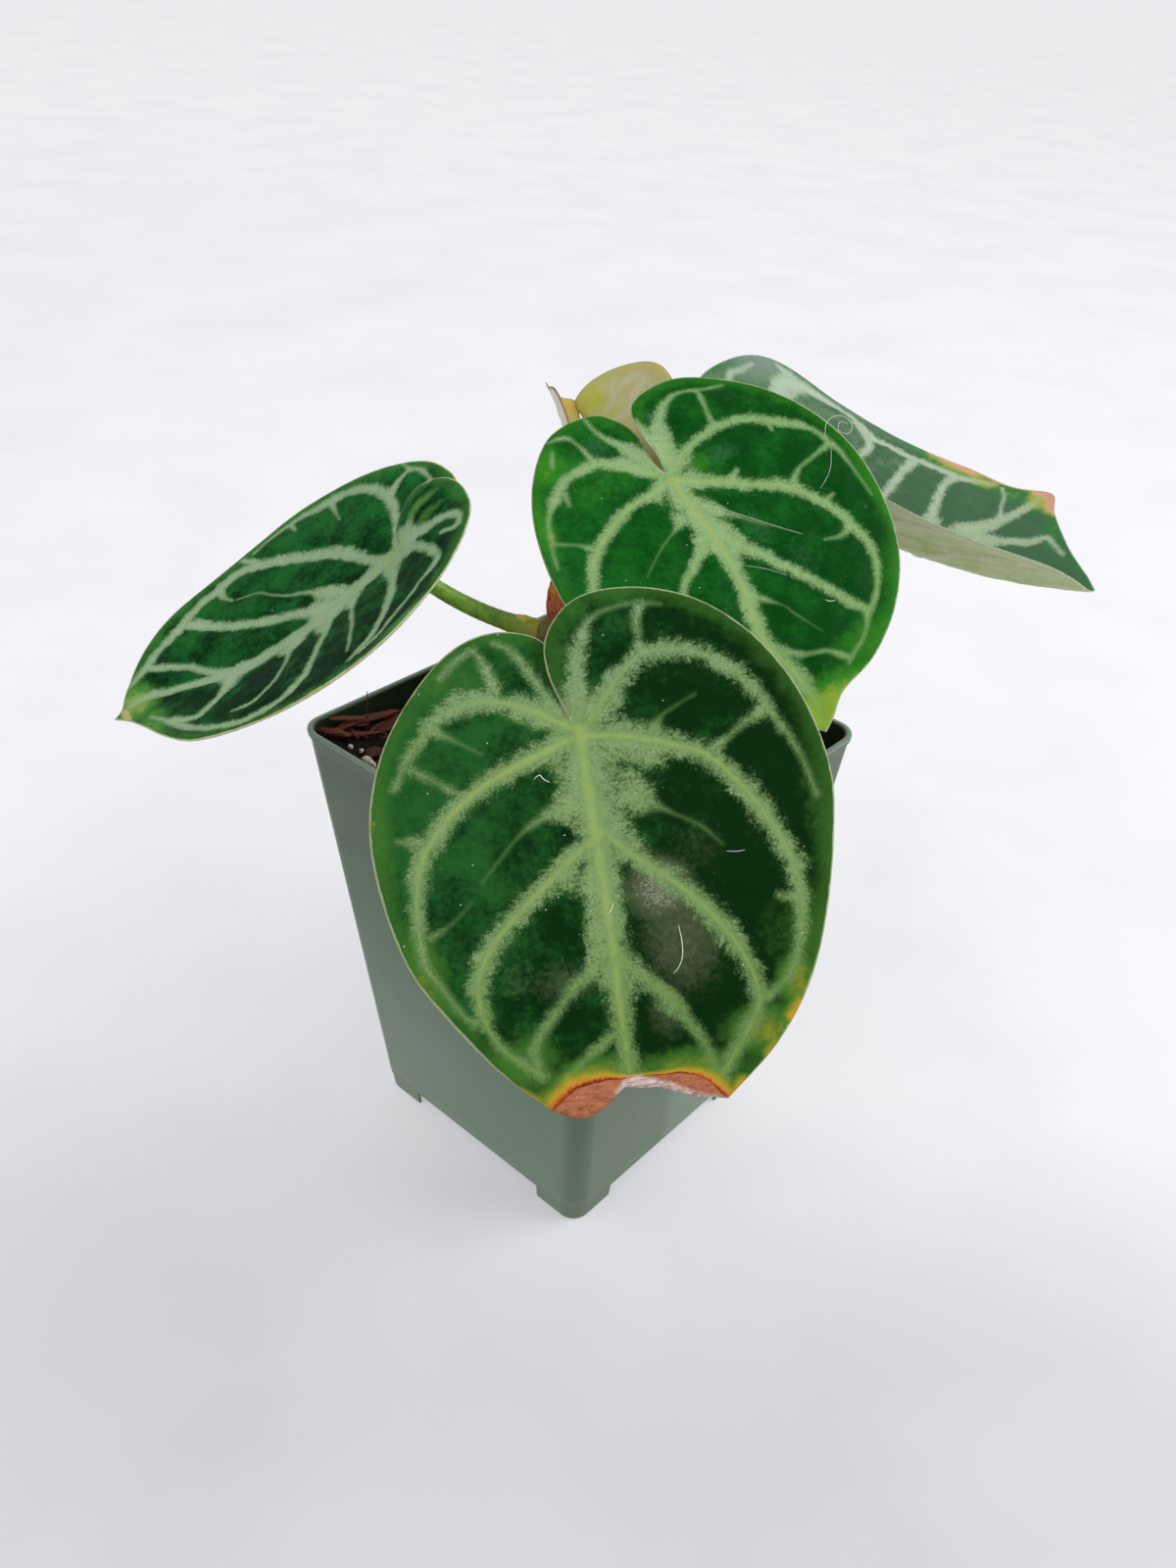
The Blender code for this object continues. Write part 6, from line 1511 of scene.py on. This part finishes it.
def make_bark():
    """The shreds of bark on the bed, lighter and redder near the corner where the mix is heaped."""
    rng = np.random.default_rng(SOIL_SEED + 1)
    points, faces, tones, grains = [], [], [], []
    count = 0
    for x, y, above, turn, tilt, roll, *size in chip_places() + loose_places(rng) + CORNER_SHREDS:
        place = Matrix.Translation((x, y, float(soil_height(x, y)) + above))
        for angle, axis in ((turn, "Z"), (tilt, "Y"), (roll, "X")):
            place = place @ Matrix.Rotation(angle, 4, axis)
        length, width, thick = size
        rings = shred(place, length, width, thick, rng.uniform(-0.04, 0.10) * length, rng)
        made, more = skin(rings, count)
        points.append(made)
        faces += more
        near_corner = math.exp(-(((x + 46) / 16) ** 2) - ((y + 28) / 26) ** 2)
        tones += [min(1.0, rng.uniform() + 0.6 * near_corner)] * len(made)
        run = np.repeat(np.linspace(0, length, SHRED_ROWS), SHRED_SIDES)
        round_it = np.tile(np.arange(SHRED_SIDES) * width * 0.4, SHRED_ROWS)
        grains.append(np.stack([run, round_it, np.full(len(made), 10.0 * len(points))], axis=1))
        count += len(made)
    values = {"tone": tones, "grain": np.vstack(grains)}
    obj = new_mesh("bark_shreds", np.vstack(points), faces, [bark_material()], None, values)
    obj.data.set_sharp_from_angle(angle=math.radians(55))
    settle(obj, "potting_mix", "soil")


def bark_material():
    """Dark red-brown fibres, lighter along their ridges and on some shreds."""
    s = Shade("bark")
    tone = s.attribute("tone")
    fibres = s.noise(s.stretch(s.attribute("grain", "Vector"), (5, 0.45, 1)), 1, 4, 0.65)
    dark = s.over("170a07", "5a2416", tone, 0.2, 0.95)
    light = s.over("33150e", "9c4c32", tone, 0.4, 1.0)
    body = s.over(dark, light, fibres, 0.42, 0.75)
    normal = s.bump(fibres, 0.25, 0.9)
    return s.finish(Base_Color=body, Roughness=0.62, Specular_IOR_Level=0.4, Normal=normal)


def make_perlite():
    """White grains, with the largest where the mix shows beside the front leaf."""
    rng = np.random.default_rng(SOIL_SEED + 2)
    points, faces = [], []
    count = 0
    placed = [(-29.5, -40.5, 2.3), (-31.5, -45.0, 2.0), (-38.5, -44.6, 0.8), (-36.2, -43.2, 0.6)]
    half = pot_half(SOIL_LEVEL) - POT_WALL - 3
    while len(placed) < PERLITE_COUNT:
        x, y = rng.uniform(-half, half, 2)
        if from_stem(x, y) > STEM_RADIUS + 3:
            placed.append((x, y, rng.uniform(0.4, 1.9)))
    for x, y, size in placed:
        shape, more = ball(3, size, count)
        rough = 1 + 0.22 * ripple(shape, 2.2 * size, len(points)) + 0.08 * ripple(shape, size, 3)
        shape = shape * rough[:, None] * rng.uniform(0.75, 1.1, 3)
        points.append(shape + (x, y, float(soil_height(x, y)) + 0.7 + 0.4 * size))
        faces += more
        count += len(shape)
    s = Shade("perlite")
    at = s.place()
    body = s.over("d9d4c8", "a59b8c", s.noise(at, 0.8, 4), 0.4, 0.7)
    material = s.finish(Base_Color=body, Roughness=0.85, Normal=s.bump(s.noise(at, 0.5, 4), 0.25, 0.9))
    settle(new_mesh("perlite", np.vstack(points), faces, [material]), "potting_mix", "soil")


def thread(route, radius, sides=6):
    """A fine fibre through the points."""
    path = through(route, 0.8)
    ahead = np.gradient(path, axis=0)
    ends = np.sin(np.linspace(0.25, math.pi - 0.25, len(path))) ** 0.4
    return rings_along(path, ahead, radius * ends, sides)


def join_threads(name, threads, material, slot, node):
    """Several threads as one piece."""
    return settle(new_mesh(name, *joined(threads), [material]), slot, node)


def on_leaf(key, route, above):
    """A route drawn on the flat leaf, lifted off its face. Each point may add its own height."""
    leaf = LEAVES[key]
    flat = np.array([p[:2] for p in route], float)
    right = flat[:, 0] > 0
    extra = np.array([p[2] if len(p) > 2 else 0.0 for p in route])
    edge = leaf_outline(leaf, 2.0)[0]
    rim = nearest(flat, edge)[0]
    strand = vein_values(key, flat)[3]
    spread = opened(leaf, flat, right)
    lift = leaf_lift(leaf, spread, flat, rim, strand, ord(key)) + BLADE_THICKNESS / 2
    return shape_leaf(leaf, flat, right) + leaf_normals(leaf, flat, right) * (lift + above + extra)[:, None]


# The fine pale hairs on each leaf: how far off its face each lies, its radius, and its route on the flat
# leaf, where a third number lifts that point further.
HAIRS = {
    "a": [
        (0.1, 0.09, [(12.8, -41.6), (12.9, -44.8), (12.5, -47.6), (11.4, -49.6), (10.2, -50.6)]),
        (0.1, 0.1, [(-10.6, -8.2), (-9.4, -7.4), (-8.6, -8.6), (-7.6, -9.3)]),
        (0.1, 0.1, [(0.8, -35.2), (0.3, -36.4), (-0.6, -37.0)]),
        (0.1, 0.06, [(24.6, -29.0), (26.6, -29.4), (28.2, -29.4)]),
    ],
    "b": [
        (0.2, 0.065, [(41.6, -8.6, 0.2), (44.5, -4.8, 0.8), (48.0, -5.2, 1.6), (49.4, -8.6, 1.6),
                      (47.4, -10.6, 1.0), (45.6, -8.6, 0.9), (47.2, -6.6, 1.3), (48.6, -8.2, 1.3)]),
        (0.1, 0.045, [(41.6, -11.6), (38.0, -16.8), (34.8, -19.6), (32.0, -21.2)]),
        (0.1, 0.1, [(16.6, -48.4), (17.6, -49.4), (18.8, -49.6)]),
        (0.08, 0.045, [(3.6, -31.5), (7.5, -34.6), (11.5, -38.5)]),
        (0.05, 0.05, [(5.2, -13.2), (9, -17.6), (13.2, -22.4), (17.5, -27.4), (20.8, -30.8)]),
    ],
}


def make_fibres():
    """Loose plant fibres in the mix, and fine pale hairs that lie on the leaves."""
    rng = np.random.default_rng(SOIL_SEED + 3)
    threads = []
    half = pot_half(SOIL_LEVEL) - POT_WALL - 2
    for _ in range(FIBRE_COUNT):
        x, y = rng.uniform(-half, half, 2)
        turn, length = rng.uniform(0, 6.3), rng.uniform(6, 22)
        route = []
        for i in range(6):
            turn += rng.uniform(-0.5, 0.5)
            z = float(soil_height(x, y)) + 1.0 + 1.6 * math.sin(i * math.pi / 5) * rng.uniform(0.2, 1)
            route.append((x, y, z))
            x = min(half, max(-half, x + length / 5 * math.cos(turn)))
            y = min(half, max(-half, y + length / 5 * math.sin(turn)))
        if min(from_stem(*p[:2]) for p in route) > STEM_RADIUS + 1:
            threads.append(thread(route, rng.uniform(0.12, 0.3), 5))
    upright = [(-44.5, -34, 122), (-44.2, -34.2, 126), (-43.6, -34.6, 130), (-43.5, -34.4, 133.5)]
    threads.append(thread(upright, 0.16))
    brown = plain_material("fibre", "3b1a10", "7a452d", (1.5, 3), (0.35, 0.65), 0.6)
    pale = plain_material("pale_hair", "ffffff", "f0f2ea", (2, 2), (0.4, 0.6), 0.5)
    join_threads("mix_fibres", threads, brown, "potting_mix", "soil")
    for key, hairs in HAIRS.items():
        threads = [thread(on_leaf(key, route, above), radius) for above, radius, route in hairs]
        join_threads(f"hairs_on_leaf_{key}", threads, pale, "leaf", f"leaf_{key}_blade")


def plain_material(name, first, second, cloud, share, rough):
    """A matte material whose first colour goes over to its second in clouds of this size and detail."""
    s = Shade(name)
    return s.finish(Base_Color=s.over(first, second, s.noise(s.place(), *cloud), *share), Roughness=rough)


def make_floor():
    """The plain pale floor. It gives off some light of its own, less of it in front of the pot."""
    floor = bpy.data.meshes.new("floor")
    corners = [(x * FLOOR_REACH, y * FLOOR_REACH, 0) for x, y in ((-1, -1), (1, -1), (1, 1), (-1, 1))]
    floor.from_pydata(corners, [], [(0, 1, 2, 3)])
    obj = bpy.data.objects.new("floor", floor)
    bpy.context.scene.collection.objects.link(obj)
    s = Shade("floor_paper")
    at = s.place()
    back = s.node("VectorMath", {0: at, 1: (-0.64, 0.77, 0)}, operation="DOT_PRODUCT").outputs["Value"]
    shine = s.over(s.over("929197", "d6d6d9", back, -150, -10), "e9e9e9", back, 20, 2200)
    body = s.over("c4c4c7", "bcbcc1", s.noise(at, 90, 3, 0.5), 0.35, 0.7)
    paper = {"Base_Color": body, "Roughness": 0.8, "Specular_IOR_Level": 0.1}
    glow = {"Emission_Color": shine, "Emission_Strength": 0.6}
    floor.materials.append(s.finish(**paper, **glow))


def make_light(name, size, power, at, aim, tint):
    """A soft round lamp that shines from one place at another."""
    lamp = bpy.data.lights.new(name, "AREA")
    lamp.shape = "DISK"
    lamp.size = size
    lamp.energy = power
    lamp.color = tint
    obj = bpy.data.objects.new(name, lamp)
    obj.location = Vector(at)
    obj.rotation_mode = "QUATERNION"
    obj.rotation_quaternion = (Vector(at) - Vector(aim)).to_track_quat("Z", "Y")
    bpy.context.scene.collection.objects.link(obj)


def make_lights():
    """An even pale surround and two large soft lights, the stronger from the right."""
    world = bpy.data.worlds.new("studio")
    world.use_nodes = True
    background = world.node_tree.nodes["Background"]
    background.inputs["Color"].default_value = WORLD_COLOUR
    background.inputs["Strength"].default_value = WORLD_STRENGTH
    bpy.context.scene.world = world
    middle = (POT_MIDDLE[0] * MM, POT_MIDDLE[1] * MM, 0.13)
    make_light("window", 1.1, 13.0, (0.95, 0.7, 1.2), middle, (1.0, 0.99, 0.97))
    make_light("fill", 1.4, 6.0, (-0.2, -1.3, 1.3), middle, (0.98, 0.98, 1.0))
    bpy.context.scene.view_settings.view_transform = "Standard"
    bpy.context.scene.view_settings.look = "None"


def make_camera():
    """The photograph's own camera, fitted to the pot's rim, edges and feet."""
    azimuth, pitch, roll = (math.radians(a) for a in (CAMERA_AZIMUTH, CAMERA_PITCH, CAMERA_ROLL))
    flat = math.cos(pitch)
    back = Vector((math.sin(azimuth) * flat, -math.cos(azimuth) * flat, math.sin(pitch)))
    level = Vector((math.cos(azimuth), math.sin(azimuth), 0.0))
    rise = level.cross(-back)
    right = math.cos(roll) * level + math.sin(roll) * rise
    up = -math.sin(roll) * level + math.cos(roll) * rise
    aside = [a * CAMERA_DISTANCE / FOCAL_PIXELS for a in CAMERA_ASIDE]
    place = Vector((0, 0, POT_HEIGHT)) + back * CAMERA_DISTANCE - right * aside[0] + up * aside[1]
    place = (place + Vector(POT_MIDDLE)) * MM
    data = bpy.data.cameras.new("camera")
    data.sensor_width = SENSOR
    data.lens = FOCAL_PIXELS * SENSOR / PICTURE_LONG_SIDE
    data.clip_start = 0.01
    data.clip_end = 50
    obj = bpy.data.objects.new("camera", data)
    columns = zip((*right, 0), (*up, 0), (*back, 0), (*place, 1))
    obj.matrix_world = Matrix([list(row) for row in columns])
    bpy.context.scene.collection.objects.link(obj)
    bpy.context.scene.camera = obj


make_camera()
make_lights()
make_floor()
make_pot()
make_soil()
make_bark()
make_perlite()
make_stem()
make_dry_scale()
make_petioles()
make_leaves()
make_fibres()
